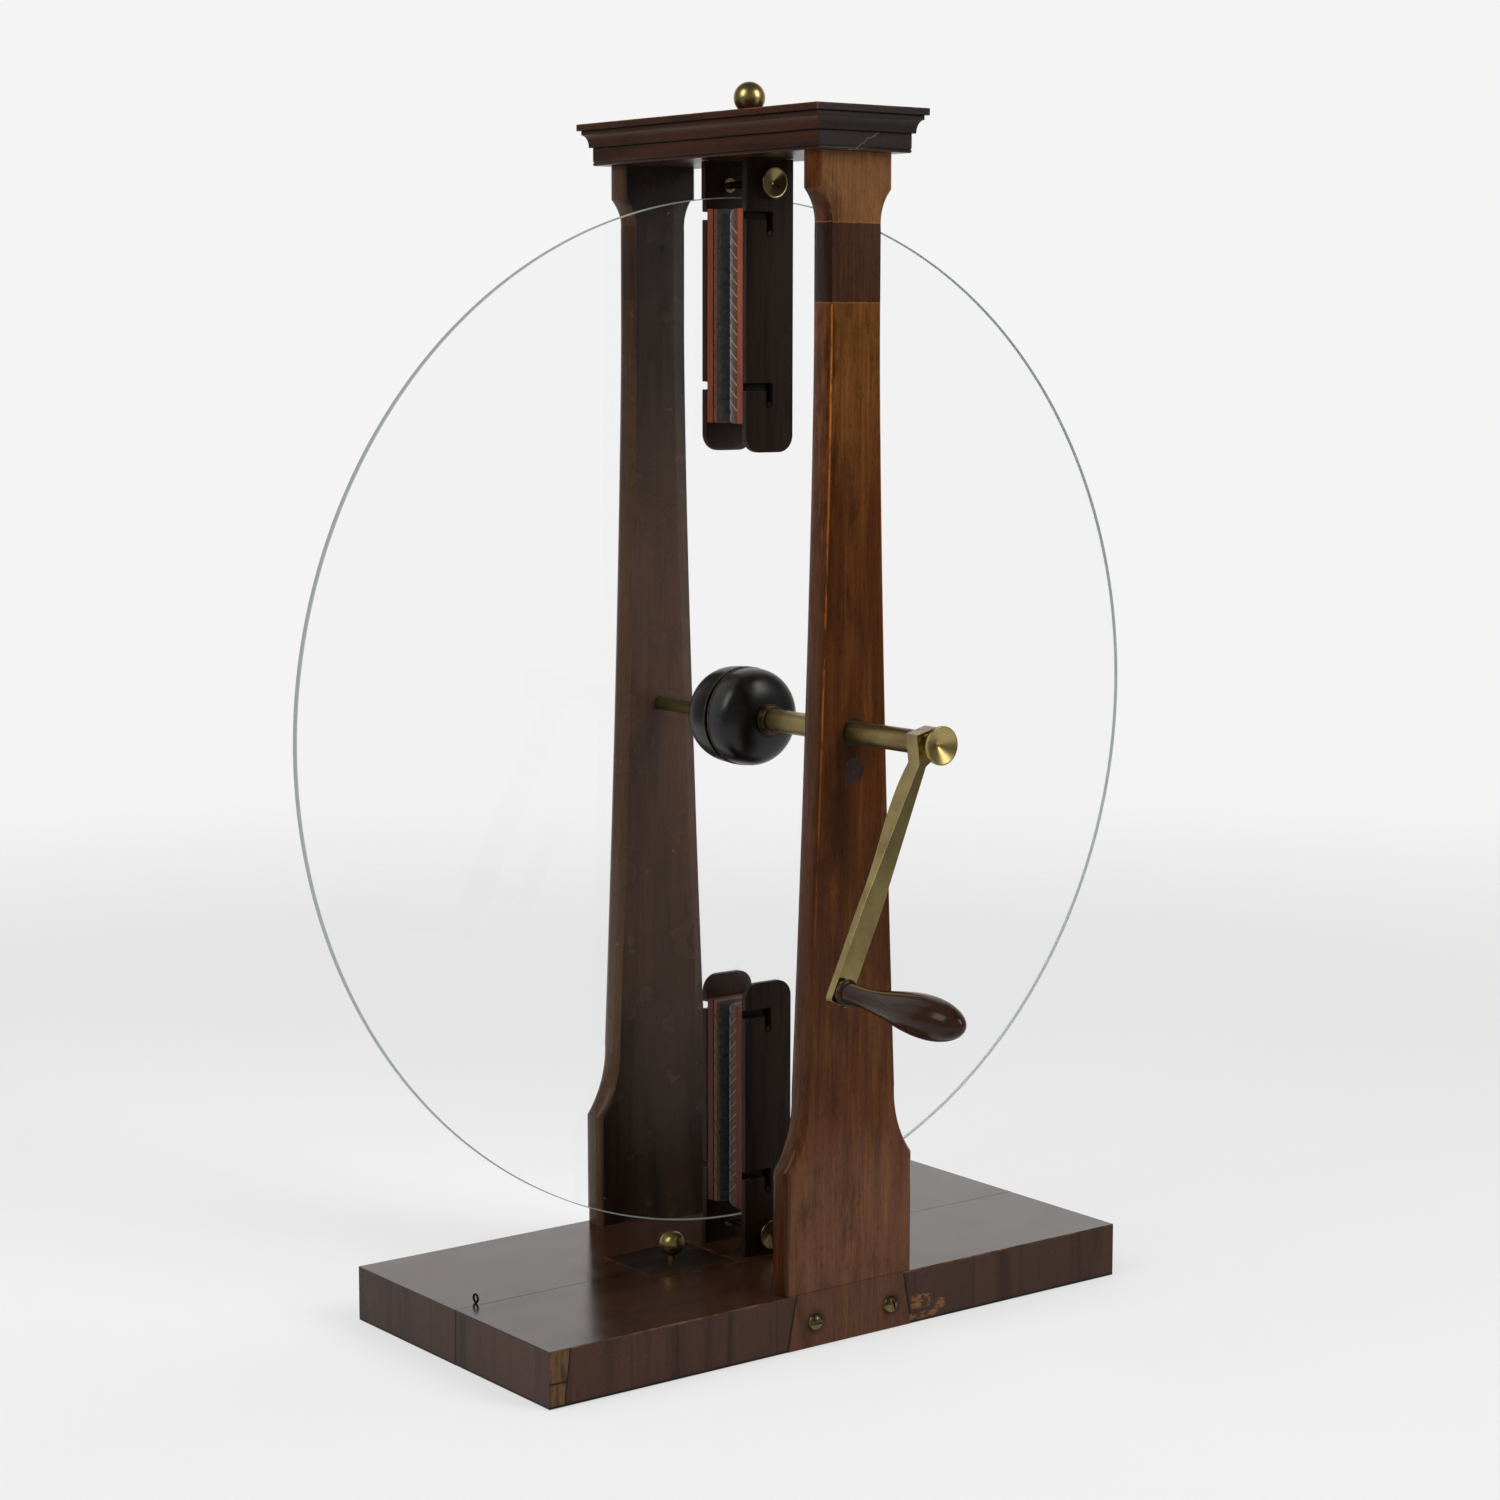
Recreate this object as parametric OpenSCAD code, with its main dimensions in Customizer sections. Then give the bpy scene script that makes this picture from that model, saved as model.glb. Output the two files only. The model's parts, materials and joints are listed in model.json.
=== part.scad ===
// Friction electrostatic machine: a crank turns a glass plate between four leather rubbers.
// X runs along the base, -Y is the crank's side, Z is up, and the origin is under the base's middle.

/* [Plate] */
// Diameter of the glass plate
plate_diameter = 609.6; // [500:1:720]
// Thickness of the glass plate
plate_thickness = 4; // [3:0.5:6]
// Place of the plate's middle behind the base's centre line
plate_y = 1; // [-3:0.5:4]
// Radius of the plate's ground edges
plate_edge_radius = 1; // [0.5:0.1:1.4]
// Diameter of the hole in the plate
plate_hole = 26; // [20:1:32]
// Clear height between the base and the plate
plate_gap_below = 19.6; // [19:0.2:40]
// Clear height between the plate and the cap
plate_gap_above = 21.7; // [20:0.2:40]

/* [Base] */
// Length of the base
base_length = 422.6; // [340:1:600]
// Width of the base, and the distance between the pillars' outer faces
base_width = 203.8; // [180:1:280]
// Thickness of the base
base_thickness = 32.6; // [26:0.2:45]
// Place of the joint between the base's two planks
plank_joint_y = -6; // [-10:0.5:-5]
// Length of the dark inlay under the plate
inlay_length = 58; // [40:1:80]
// Width of the dark inlay
inlay_width = 55; // [30:1:70]
// Thickness of the dark inlay
inlay_thickness = 0.8; // [0.5:0.1:2]
// Depth of the inlay's face below the base's top
inlay_sink = 0.6; // [0.2:0.1:1.5]
// Place of the inlay's middle along the base
inlay_x = -54; // [-90:0.5:-50]
// Place of the inlay's middle across the base
inlay_y = 1.5; // [0:0.5:6]

/* [Pillars] */
// Thickness of the pillars
pillar_thickness = 16; // [13:0.5:22]
// Width of the pillar's plinth
plinth_width = 96; // [80:1:120]
// Height of the plinth above the base
plinth_height = 72.4; // [50:1:100]
// Radius of the hollow shoulder above the plinth
shoulder_radius = 68; // [40:1:90]
// Width of the shaft above the shoulder
waist_width = 67; // [56:1:76]
// Width of the shaft's neck
neck_width = 38.2; // [32:1:48]
// Length of the straight neck
neck_length = 61.5; // [30:1:100]
// How fast the shaft draws in above the shoulder
taper_power = 1.4; // [1:0.1:2]
// Width of the capital
capital_width = 56; // [50:1:62]
// Height of the capital
capital_height = 20.7; // [12:0.5:30]
// Radius of the hollow under the capital
capital_radius = 30; // [16:1:40]
// Width of the dovetail at the base's top
dovetail_top = 79.2; // [70:0.2:84]
// Width of the dovetail at the base's underside
dovetail_bottom = 92; // [84:0.2:110]
// Width of the tenon in the cap
pillar_tenon_width = 30; // [20:1:36]
// Thickness of the tenon in the cap
pillar_tenon_thickness = 8; // [5:0.5:9]
// Height of the tenon in the cap
pillar_tenon_height = 8; // [5:0.5:9]
// Diameter of the dark plug below the axle
plug_diameter = 15; // [10:0.5:18]
// Distance of the plug below the axle
plug_drop = 22; // [20:0.5:30]

/* [Pillar screws] */
// Diameter of the round screw heads
screw_head_diameter = 10.3; // [8:0.1:12]
// Height of the round screw heads
screw_head_height = 3.6; // [2.5:0.1:4.5]
// Diameter of the screw shanks
screw_diameter = 5; // [4:0.1:6]
// Depth of the screws in the base
screw_bite = 14; // [8:1:30]
// Distance between a pillar's two screws
screw_spacing = 56.6; // [40:0.2:62]
// Place of the screws' middle along the pillar's width
screw_x = 2.2; // [-3:0.1:3]
// Height of the screws above the base's underside
screw_height = 14.5; // [9:0.5:18]
// Width of the screw slots
screw_slot_width = 1.2; // [0.8:0.1:1.6]
// Depth of the screw slots
screw_slot_depth = 1.5; // [0.8:0.1:2]

/* [Cap] */
// Overhang of the frieze past the pillars' outer faces
frieze_overhang = 7.9; // [4:0.1:12]
// Width of the frieze
frieze_width = 66.6; // [60:0.2:80]
// Height of the frieze
frieze_height = 10.8; // [10:0.2:16]
// Height of the bead along the frieze's foot
bead_height = 2; // [1:0.1:3]
// Depth of the quirk above the bead
quirk_depth = 0.5; // [0.2:0.1:0.8]
// Height of the hollow moulding
moulding_height = 10.05; // [7:0.05:14]
// Overhang of the moulding's foot past the frieze
moulding_foot = 1.75; // [1:0.05:2.5]
// Overhang of the moulding's fillet past the frieze
moulding_fillet = 5; // [3.5:0.1:6]
// Height of the moulding's fillet
fillet_height = 2.6; // [1.5:0.1:3.5]
// Thickness of the corona, the cap's top board
corona_thickness = 3.95; // [3:0.05:7]
// Overhang of the corona past the frieze
corona_overhang = 7.1; // [5.5:0.1:10]

/* [Brass balls and earth eye] */
// Diameter of the ball on the cap
cap_ball_diameter = 18.6; // [12:0.2:26]
// Place of the ball along the cap's width
cap_ball_x = 2; // [-5:0.5:5]
// Diameter of the ball on the base
base_ball_diameter = 15.2; // [10:0.2:17]
// Diameter of the balls' stems
ball_stem_diameter = 5; // [4:0.2:6]
// Length of stem that shows under the cap's ball
cap_ball_stem = 1.6; // [1:0.1:4]
// Length of stem that shows under the base's ball
base_ball_stem = 3; // [1:0.1:4]
// Depth of the stems in the wood
ball_stem_bite = 9; // [6:0.5:12]
// Thickness of the earth eye's wire
eye_wire = 1.3; // [1:0.1:2]
// Outer diameter of the earth eye
eye_diameter = 5.8; // [5:0.1:9]
// Depth of the earth eye in the wood
eye_bite = 8; // [5:1:15]
// Distance of the earth eye from the base's end
eye_inset = 16.3; // [10:0.1:40]
// Place of the earth eye across the base
eye_y = -2; // [-3:0.5:6]

/* [Axle and hub] */
// Diameter of the axle's front part
axle_front_diameter = 13.5; // [12.5:0.1:15]
// Diameter of the axle inside the hub
axle_hub_diameter = 12; // [10:0.1:12.4]
// Diameter of the axle's rear journal
axle_rear_diameter = 8.5; // [7:0.1:9.5]
// Diameter of the axle's tang in the crank
tang_diameter = 8; // [6:0.1:9]
// Length of axle in front of the front pillar
axle_projection = 57.1; // [45:0.1:80]
// Wall of the bushes
bush_wall = 1.2; // [0.8:0.1:2]
// Depth of the rear bush in its pillar
rear_bush_depth = 12; // [9:0.5:12.5]
// Space between the axle's rear end and the bottom of its hole
axle_end_gap = 1; // [0.5:0.1:2]
// Radius of the wooden bosses
boss_radius = 29.2; // [24:0.1:36]
// Length of the front boss
front_boss_length = 20; // [17:0.5:30]
// Length of the rear boss
rear_boss_length = 28.5; // [20:0.5:34]
// Fullness of the bosses' shoulders, where 2 is an ellipse
boss_fullness = 3; // [2:0.1:5]
// Radius of the front boss's nose
front_nose_radius = 11; // [10:0.5:14]
// Radius of the rear boss's nose
rear_nose_radius = 8; // [7.5:0.5:12]
// Length of the rear journal inside the rear boss
rear_boss_neck = 6; // [4:0.5:10]
// Thickness of the leather packings
packing_thickness = 0.8; // [0.5:0.1:1.5]
// How far the packings stand out of the hub
packing_show = 0.3; // [0:0.1:1]
// Depth of the spigot in the rear boss
spigot_bite = 4; // [2:0.5:8]
// Diameter of the collar in front of the hub
collar_diameter = 18.3; // [17:0.1:20]
// Length of the collar's wide ring
collar_ring = 2.4; // [1:0.1:4]
// Length of the groove beside the wide ring
collar_groove = 0.9; // [0.5:0.1:2]
// Length of the collar's narrow ring
collar_bead = 1.5; // [0.8:0.1:3]
// Length of the step at the collar's end
collar_step = 1.2; // [0.5:0.1:3]
// Depth of the collar's groove and step
collar_depth = 1; // [0.6:0.1:1.4]
// Depth of the collar's narrow ring below its wide ring
collar_bead_depth = 0.5; // [0.1:0.1:0.5]
// Diameter of the cross pin in the hub
hub_pin_diameter = 3; // [2:0.1:4]
// Length of the cross pin
hub_pin_length = 38; // [26:1:42]
// Place of the cross pin behind the front boss's nose
hub_pin_inset = 12.5; // [9:0.5:14]

/* [Crank] */
// Distance from the axle to the handle
crank_radius = 145.8; // [110:0.1:180]
// Angle of the crank from hanging straight down
crank_angle = 24.7; // [0:0.1:90]
// Thickness of the crank's boss
crank_boss_thickness = 10; // [8:0.1:12]
// Height of the boss's peak above the axle
crank_peak = 10.2; // [9.5:0.1:14]
// Width of the boss across its corners
crank_boss_width = 22.4; // [21:0.1:28]
// Height of the boss's corners above the axle
crank_corner_rise = 1; // [0:0.1:3]
// Distance from the axle down to the crank's neck
crank_neck_drop = 12.6; // [11:0.1:16]
// Width of the crank's neck
crank_neck_width = 5.2; // [4:0.1:8]
// Width of the crank's lower arm
crank_arm_width = 13.2; // [11:0.1:18]
// Thickness of the crank's lower arm
crank_arm_thickness = 5.2; // [4:0.1:8]
// Greatest thickness of the arm, below the neck
crank_swell = 11.4; // [10:0.1:14]
// Distance of the swell below the axle
crank_swell_drop = 28; // [20:1:34]
// Distance below the axle where the arm reaches its lower size
crank_taper_drop = 95; // [60:1:105]
// Length of arm below the handle
crank_toe = 7.5; // [6:0.1:12]
// Size of the chamfers at the arm's toe
crank_toe_chamfer = 1.2; // [0.5:0.1:3]
// Diameter of the dished nut
nut_diameter = 22; // [18:0.1:28]
// Length of the dished nut
nut_length = 10.6; // [9.5:0.1:14]
// Diameter of the nut's neck
nut_neck_diameter = 11; // [10.5:0.1:14]
// Length of the nut's neck
nut_neck_length = 3.2; // [1:0.1:5]
// Height of the nut's rim
nut_rim_height = 2.1; // [1:0.1:3]
// Depth of the nut's dish
nut_dish_depth = 4.2; // [2:0.1:4.4]
// Width of the rim round a dish
dish_rim = 0.8; // [0.4:0.1:1.2]
// Diameter of the dimple in a dish
dish_dimple = 3.4; // [2:0.1:4]
// Depth of the dimple in a dish
dish_dimple_depth = 0.5; // [0.2:0.1:0.6]
// Depth of the tang in the nut
nut_bite = 5; // [3:0.1:5]

/* [Handle] */
// Length of the wooden handle
handle_length = 97.5; // [80:0.5:130]
// Greatest diameter of the handle
handle_diameter = 24; // [18:0.1:30]
// Place of the greatest diameter along the handle
handle_belly = 69; // [50:0.5:72]
// Angle by which the handle droops from square to the crank
handle_droop = 1.6; // [0:0.1:2]
// Diameter of the handle's neck
handle_neck_diameter = 11.4; // [10:0.1:15]
// Place of the neck along the handle
handle_neck = 13; // [9:0.5:20]
// Diameter of the bead at the handle's root
handle_bead_diameter = 15.4; // [14:0.1:20]
// Length of the bead at the handle's root
handle_bead = 3.6; // [2:0.1:5]
// Diameter of the handle's spindle
spindle_diameter = 6; // [5:0.1:7]
// Length of spindle inside the handle
spindle_bite = 62; // [40:1:66]
// Diameter of the rivet head behind the arm
rivet_diameter = 9; // [8:0.1:10.5]
// Height of the rivet head
rivet_height = 1.5; // [1:0.1:3]
// Diameter of the washer between arm and handle
washer_diameter = 12; // [10:0.1:13]
// Thickness of the washer
washer_thickness = 1; // [0.6:0.1:2]

/* [Clamp boards] */
// Width of the clamp boards
board_width = 34.4; // [28:0.2:42]
// Thickness of the clamp boards
board_thickness = 4; // [3:0.1:6]
// Length of the upper clamp boards
upper_board_length = 169.4; // [164:0.2:190]
// Length of the lower clamp boards
lower_board_length = 166.6; // [164:0.2:190]
// Radius of the boards' free corners
board_corner = 10; // [4:0.5:14]
// Space between the plate and the front boards
front_gap = 17.5; // [15:0.1:22]
// Space between the plate and the rear boards
rear_gap = 14.5; // [13.5:0.1:20]
// Width of the boards' tenons
board_tenon_width = 24; // [16:1:26]
// Length of the boards' tenons
board_tenon_length = 8; // [5:0.5:9]

/* [Clamp screws] */
// Distance of the upper clamp screw below the cap
upper_clamp_offset = 14; // [12:0.1:14.5]
// Distance of the lower clamp screw above the base
lower_clamp_offset = 12.4; // [11:0.1:14]
// Diameter of the clamp screws' rods
clamp_rod_diameter = 4.2; // [3:0.1:5]
// Length of rod behind the rear board
clamp_rod_show = 1.5; // [0.5:0.1:4]
// Diameter of the dished heads
clamp_head_diameter = 18; // [14:0.1:20]
// Length of the dished heads
clamp_head_length = 5; // [4:0.1:7]
// Diameter of the heads' necks
clamp_neck_diameter = 9; // [7:0.1:11]
// Length of the heads' necks
clamp_neck_length = 1.5; // [0.8:0.1:2]
// Height of the heads' rims
clamp_rim_height = 1; // [0.5:0.1:2]
// Depth of the heads' dish
clamp_dish_depth = 2.4; // [1:0.1:3]
// Diameter of the captive nuts' flanges
clamp_nut_diameter = 8.6; // [8:0.1:10]
// Thickness of the captive nuts' flanges
clamp_nut_flange = 1.5; // [1:0.1:2.5]
// Wall of the captive nuts in the board
clamp_nut_wall = 0.8; // [0.6:0.1:1.2]

/* [Rubbers] */
// Length of the rubbers
rubber_length = 124; // [116:0.5:130]
// Width of the rubbers
rubber_width = 33; // [26:0.2:40]
// Thickness of the wooden backings
backing_thickness = 5.5; // [4.6:0.1:6.4]
// Thickness of the leather layer
leather_thickness = 4.5; // [3:0.1:5]
// Distance of the upper rubbers below the plate's top
upper_rubber_inset = 7; // [7:0.1:14]
// Distance of the lower rubbers above the plate's bottom
lower_rubber_inset = 8.8; // [6:0.1:14]
// Number of stitches along a cushion
stitch_count = 15; // [8:1:18]
// How far a stitch draws the cushion's side in
stitch_pull = 1.3; // [0.4:0.1:2]
// Squareness of the cushion's section at a stitch
stitch_squareness = 2.6; // [2:0.1:4]
// Squareness of the cushion's section between stitches
swell_squareness = 6; // [3:0.1:8]
// Radius of the cushion's ends
cushion_round = 2; // [1:0.1:2.4]
// Diameter of the rubbers' studs
stud_diameter = 3.6; // [3:0.1:4.4]
// Distance of the lower stud above the rubber's foot
stud_inset = 11.2; // [8:0.2:14]
// Distance between a rubber's two studs
stud_spacing = 98.5; // [90:0.5:100]
// Depth of the studs in the backing
stud_bite = 4; // [2:0.1:4.4]
// How far a rubber lifts out of its slots
rubber_lift = 10.2; // [8:0.1:11]

/* [Clearances] */
// Radial clearance of turning and fixed round fits
fit_gap = 0.05; // [0.02:0.01:0.1]
// Clearance of glued wooden joints
joint_gap = 0.1; // [0.05:0.01:0.2]
// Clearance round the boards' tenons, which rock
swing_gap = 0.2; // [0.15:0.01:0.3]
// Clearance between the rubbers and the boards they slide on
slip_gap = 0.2; // [0.1:0.05:0.3]
// Clearance round the studs in their slots
slot_gap = 0.45; // [0.3:0.05:0.6]
// Clearance of the clamp rods in their nuts
thread_gap = 0.55; // [0.5:0.05:0.8]
// Clearance between the handle and its washer
handle_gap = 0.5; // [0.45:0.05:0.8]
// Clearance between the cushions and the plate
cushion_gap = 0.4; // [0.3:0.05:0.6]

/* [Hidden] */

// Smoothness of round shapes, and steps along arcs and curves
$fn = 96;
arc_steps = 10;
curve_steps = 16;
rings_per_stitch = 6;
section_steps = 8;
// How far a cut runs past the face that it opens
cut = 1;

// Colours
mahogany = "#5b3020";
dark_mahogany = "#3a2018";
ebony = "#1b1918";
inlay_colour = "#2a1d18";
board_colour = "#241a17";
red_wood = "#8e3d26";
leather = "#6b3a28";
grey_felt = "#4d4d4a";
brass = "#a28b4c";
dark_brass = "#5f5434";
steel = "#8d8f92";
glass = [0.82, 0.9, 0.87, 0.35];
handle_colour = "#3b2118";

// Heights
z_base = base_thickness;
z_axle = z_base + plate_gap_below + plate_diameter / 2;
z_plate_top = z_axle + plate_diameter / 2;
z_plate_bottom = z_axle - plate_diameter / 2;
z_cap = z_plate_top + plate_gap_above;
z_moulding = z_cap + frieze_height;
z_corona = z_moulding + moulding_height;
z_top = z_corona + corona_thickness;

// Places along the axle
y_out = base_width / 2;
y_in = y_out - pillar_thickness;
plate_front = plate_y - plate_thickness / 2;
plate_rear = plate_y + plate_thickness / 2;
boss_front_face = plate_front - packing_thickness;
boss_rear_face = plate_rear + packing_thickness;
front_nose = boss_front_face - front_boss_length;
rear_nose = boss_rear_face + rear_boss_length;
hub_axle_end = rear_nose - rear_boss_neck;
axle_rear_end = y_in + rear_bush_depth - axle_end_gap;
crank_back = -y_out - axle_projection;
crank_front = crank_back - crank_boss_thickness;
nut_face = crank_front - nut_length;
tang_end = crank_front - nut_bite;
front_board_y = plate_front - front_gap;
rear_board_y = plate_rear + rear_gap;

// The crank's handle, from the axle
handle_x = -crank_radius * sin(crank_angle);
handle_z = z_axle - crank_radius * cos(crank_angle);

// Widths that fits leave
slot_width = stud_diameter + 2 * slot_gap;
spigot_diameter = plate_hole - 2 * fit_gap;
front_bush_diameter = axle_front_diameter + 2 * (fit_gap + bush_wall);
rear_bush_diameter = axle_rear_diameter + 2 * (fit_gap + bush_wall);
thread_diameter = clamp_rod_diameter + 2 * thread_gap;
clamp_nut_body = thread_diameter + 2 * clamp_nut_wall;
upper_rubber_z = z_plate_top - upper_rubber_inset - rubber_length;
lower_rubber_z = z_plate_bottom + lower_rubber_inset;
upper_clamp_z = z_cap - upper_clamp_offset;
lower_clamp_z = z_base + lower_clamp_offset;
backing_step = slip_gap + backing_thickness;
cushion_step = backing_step + leather_thickness;

// An outline in X and Z, made thick from y towards +Y
module upright(y, thickness) {
    translate([0, y + thickness, 0])
        rotate([90, 0, 0])
            linear_extrude(thickness)
                children();
}

// An outline in Y and Z, made thick from -X to +X about the middle
module sideways(width) {
    rotate([90, 0, 90])
        linear_extrude(width, center = true)
            children();
}

// A profile of [radius, y] points, turned about an axis along Y
module turned_y(points) {
    rotate([-90, 0, 0])
        rotate_extrude()
            polygon(points);
}

// A round rod along Y
module rod_y(diameter, y0, y1) {
    translate([0, y0, 0])
        rotate([-90, 0, 0])
            cylinder(d = diameter, h = y1 - y0);
}

// A round rod along Z
module rod_z(diameter, z0, z1) {
    translate([0, 0, z0])
        cylinder(d = diameter, h = z1 - z0);
}

// Mirrors a front piece to the rear
module at_rear() {
    mirror([0, 1, 0])
        children();
}

// Height of a hollow of the given radius that steps in by the given width
function hollow_height(radius, step) = sqrt(radius * radius - (radius - step) * (radius - step));

// Points of the pillar's right edge, from the plinth up to the cap
shoulder_step = (plinth_width - waist_width) / 2;
shoulder_height = hollow_height(shoulder_radius, shoulder_step);
capital_step = (capital_width - neck_width) / 2;
capital_hollow = hollow_height(capital_radius, capital_step);
z_shoulder = z_base + plinth_height;
z_waist = z_shoulder + shoulder_height;
z_capital = z_cap - capital_height;
z_hollow = z_capital - capital_hollow;
z_neck = z_hollow - neck_length;

function shoulder_x(z) =
    waist_width / 2 + shoulder_radius - sqrt(pow(shoulder_radius, 2) - pow(z_waist - z, 2));
function shaft_x(s) = (neck_width + (waist_width - neck_width) * pow(1 - s, taper_power)) / 2;
function hollow_x(z) =
    neck_width / 2 + capital_radius - sqrt(pow(capital_radius, 2) - pow(z - z_hollow, 2));

pillar_edge = concat(
    [[plinth_width / 2, z_base]],
    [for (i = [0 : arc_steps - 1]) let (z = z_shoulder + shoulder_height * i / arc_steps) [shoulder_x(z), z]],
    [for (i = [0 : curve_steps]) let (s = i / curve_steps) [shaft_x(s), z_waist + (z_neck - z_waist) * s]],
    [for (i = [0 : arc_steps]) let (z = z_hollow + capital_hollow * i / arc_steps) [hollow_x(z), z]],
    [[capital_width / 2, z_cap]]
);

module both_edges(edge) {
    polygon(concat(edge, [for (i = [len(edge) - 1 : -1 : 0]) [-edge[i][0], edge[i][1]]]));
}

// Edge of the dovetail at a pillar's foot, with room added on each side
function dovetail_edge(room) = [[dovetail_bottom / 2 + room, 0], [dovetail_top / 2 + room, z_base]];

// Places of a pillar's two screws, numbered by $screw
module each_screw() {
    for ($screw = [0, 1])
        translate([screw_x + ($screw - 0.5) * screw_spacing, 0, screw_height])
            children();
}

// One pillar at the front, with its axle hole drilled from the inner face to the given depth
module pillar(hole_diameter, hole_depth) {
    tenon_y = -y_out + (pillar_thickness - pillar_tenon_thickness) / 2;
    difference() {
        union() {
            upright(-y_out, pillar_thickness)
                both_edges(concat(dovetail_edge(0), pillar_edge));
            translate([-pillar_tenon_width / 2, tenon_y, z_cap - pillar_tenon_height])
                cube([pillar_tenon_width, pillar_tenon_thickness, 2 * pillar_tenon_height]);
        }
        translate([0, 0, z_axle]) {
            rod_y(hole_diameter + 2 * fit_gap, -y_in - hole_depth, -y_in + cut);
            translate([0, 0, -plug_drop])
                rod_y(plug_diameter + 2 * fit_gap, -y_out - cut, -y_in + cut);
        }
        each_screw()
            rod_y(screw_diameter + 2 * fit_gap, -y_out - cut, -y_in + cut);
    }
}

module front_pillar() {
    color(mahogany)
        pillar(front_bush_diameter, pillar_thickness + cut);
}

module rear_pillar() {
    color(mahogany)
        at_rear()
            pillar(rear_bush_diameter, rear_bush_depth);
}

// The round dark plug in the front pillar
module plug() {
    translate([0, 0, z_axle - plug_drop])
        rod_y(plug_diameter, -y_out, -y_in);
}

module front_plug() {
    color(ebony)
        plug();
}

module rear_plug() {
    color(ebony)
        at_rear()
            plug();
}

// One round-headed wood screw that enters along +Y, with its slot turned to the given angle
module wood_screw(slot_angle) {
    dome = (pow(screw_head_diameter / 2, 2) + pow(screw_head_height, 2)) / (2 * screw_head_height);
    rod_y(screw_diameter, -y_out, -y_in + screw_bite);
    difference() {
        intersection() {
            translate([0, -y_out - screw_head_height + dome, 0])
                sphere(dome);
            rod_y(screw_head_diameter, -y_out - screw_head_height, -y_out);
        }
        translate([0, -y_out - screw_head_height, 0])
            rotate([0, slot_angle, 0])
                cube([2 * screw_head_diameter, 2 * screw_slot_depth, screw_slot_width], center = true);
    }
}

// Two screws through a pillar's foot, with their slots at the given angles
module pillar_screws(slot_angles) {
    each_screw()
        wood_screw(slot_angles[$screw]);
}

module front_pillar_screws() {
    color(brass)
        pillar_screws([0, 74]);
}

module rear_pillar_screws() {
    color(brass)
        at_rear()
            pillar_screws([20, 115]);
}

// The pocket that takes a clamp board's tenon, on the outer side of the board's inner face
module board_mortise(inner_y, side, z0, z1) {
    width = board_tenon_width + 2 * swing_gap;
    depth = board_thickness + 2 * swing_gap;
    translate([-width / 2, inner_y + side * board_thickness / 2 - depth / 2, z0])
        cube([width, depth, z1 - z0]);
}

// One base plank between two values of Y, with the joints and holes that fall on it
module plank(y0, y1) {
    mortise_foot = z_base - board_tenon_length - 2 * swing_gap;
    difference() {
        translate([-base_length / 2, y0, 0])
            cube([base_length, y1 - y0, base_thickness]);
        for (side = [0, 1])
            mirror([0, side, 0]) {
                upright(-y_out - cut, pillar_thickness + cut) {
                    both_edges(dovetail_edge(joint_gap));
                    translate([-dovetail_bottom / 2 - joint_gap, -cut])
                        square([dovetail_bottom + 2 * joint_gap, cut]);
                }
                each_screw()
                    rod_y(screw_diameter + 2 * fit_gap, -y_in - cut, -y_in + screw_bite + cut);
            }
        board_mortise(front_board_y, -1, mortise_foot, z_base + cut);
        board_mortise(rear_board_y, 1, mortise_foot, z_base + cut);
        inlay_block(joint_gap, inlay_thickness + inlay_sink + cut);
        translate([inlay_x, inlay_y, 0])
            rod_z(ball_stem_diameter + 2 * fit_gap, z_inlay - inlay_thickness - ball_stem_bite - cut, z_base);
        translate([eye_x, eye_y, 0])
            rod_z(eye_wire + 2 * fit_gap, z_base - eye_bite - cut, z_base + cut);
    }
}

module base_front_plank() {
    color(mahogany)
        plank(-y_out, plank_joint_y);
}

module base_rear_plank() {
    color(mahogany)
        plank(plank_joint_y, y_out);
}

z_inlay = z_base - inlay_sink;

// The inlay's block, grown by some room on its sides and made as high as given
module inlay_block(room, height) {
    size = [inlay_length + 2 * room, inlay_width + 2 * room, height];
    translate([inlay_x - size[0] / 2, inlay_y - size[1] / 2, z_inlay - inlay_thickness])
        cube(size);
}

module base_inlay() {
    color(inlay_colour)
        difference() {
            inlay_block(0, inlay_thickness);
            translate([inlay_x, inlay_y, 0])
                rod_z(ball_stem_diameter + 2 * fit_gap, 0, z_base);
            board_mortise(front_board_y, -1, 0, z_base);
            board_mortise(rear_board_y, 1, 0, z_base);
        }
}

// A ball that stands on a face at height z, on a stem that shows a little and bites into the wood
module stemmed_ball(diameter, z, show, bite) {
    centre = z + show + diameter / 2;
    translate([0, 0, centre])
        sphere(d = diameter);
    rod_z(ball_stem_diameter, z - bite, centre);
}

module cap_ball() {
    color(brass)
        translate([cap_ball_x, 0, 0])
            stemmed_ball(cap_ball_diameter, z_top, cap_ball_stem, ball_stem_bite);
}

module base_ball() {
    color(brass)
        translate([inlay_x, inlay_y, 0])
            stemmed_ball(base_ball_diameter, z_inlay, base_ball_stem, inlay_thickness + ball_stem_bite);
}

eye_x = -base_length / 2 + eye_inset;

module earth_eye() {
    ring = (eye_diameter - eye_wire) / 2;
    color(dark_brass)
        translate([eye_x, eye_y, 0]) {
            rod_z(eye_wire, z_base - eye_bite, z_base + eye_wire);
            translate([0, 0, z_base + eye_wire / 2 + ring])
                rotate([0, 90, 0])
                    rotate_extrude()
                        translate([ring, 0])
                            circle(d = eye_wire);
        }
}

// A cap layer whose edge profile, [overhang, height] points, runs round all four sides
module cap_layer(profile) {
    intersection() {
        upright(-base_width, 2 * base_width)
            both_edges([for (p = profile) [frieze_width / 2 + p[0], p[1]]]);
        sideways(2 * frieze_width)
            both_edges([for (p = profile) [y_out + frieze_overhang + p[0], p[1]]]);
    }
}

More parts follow.
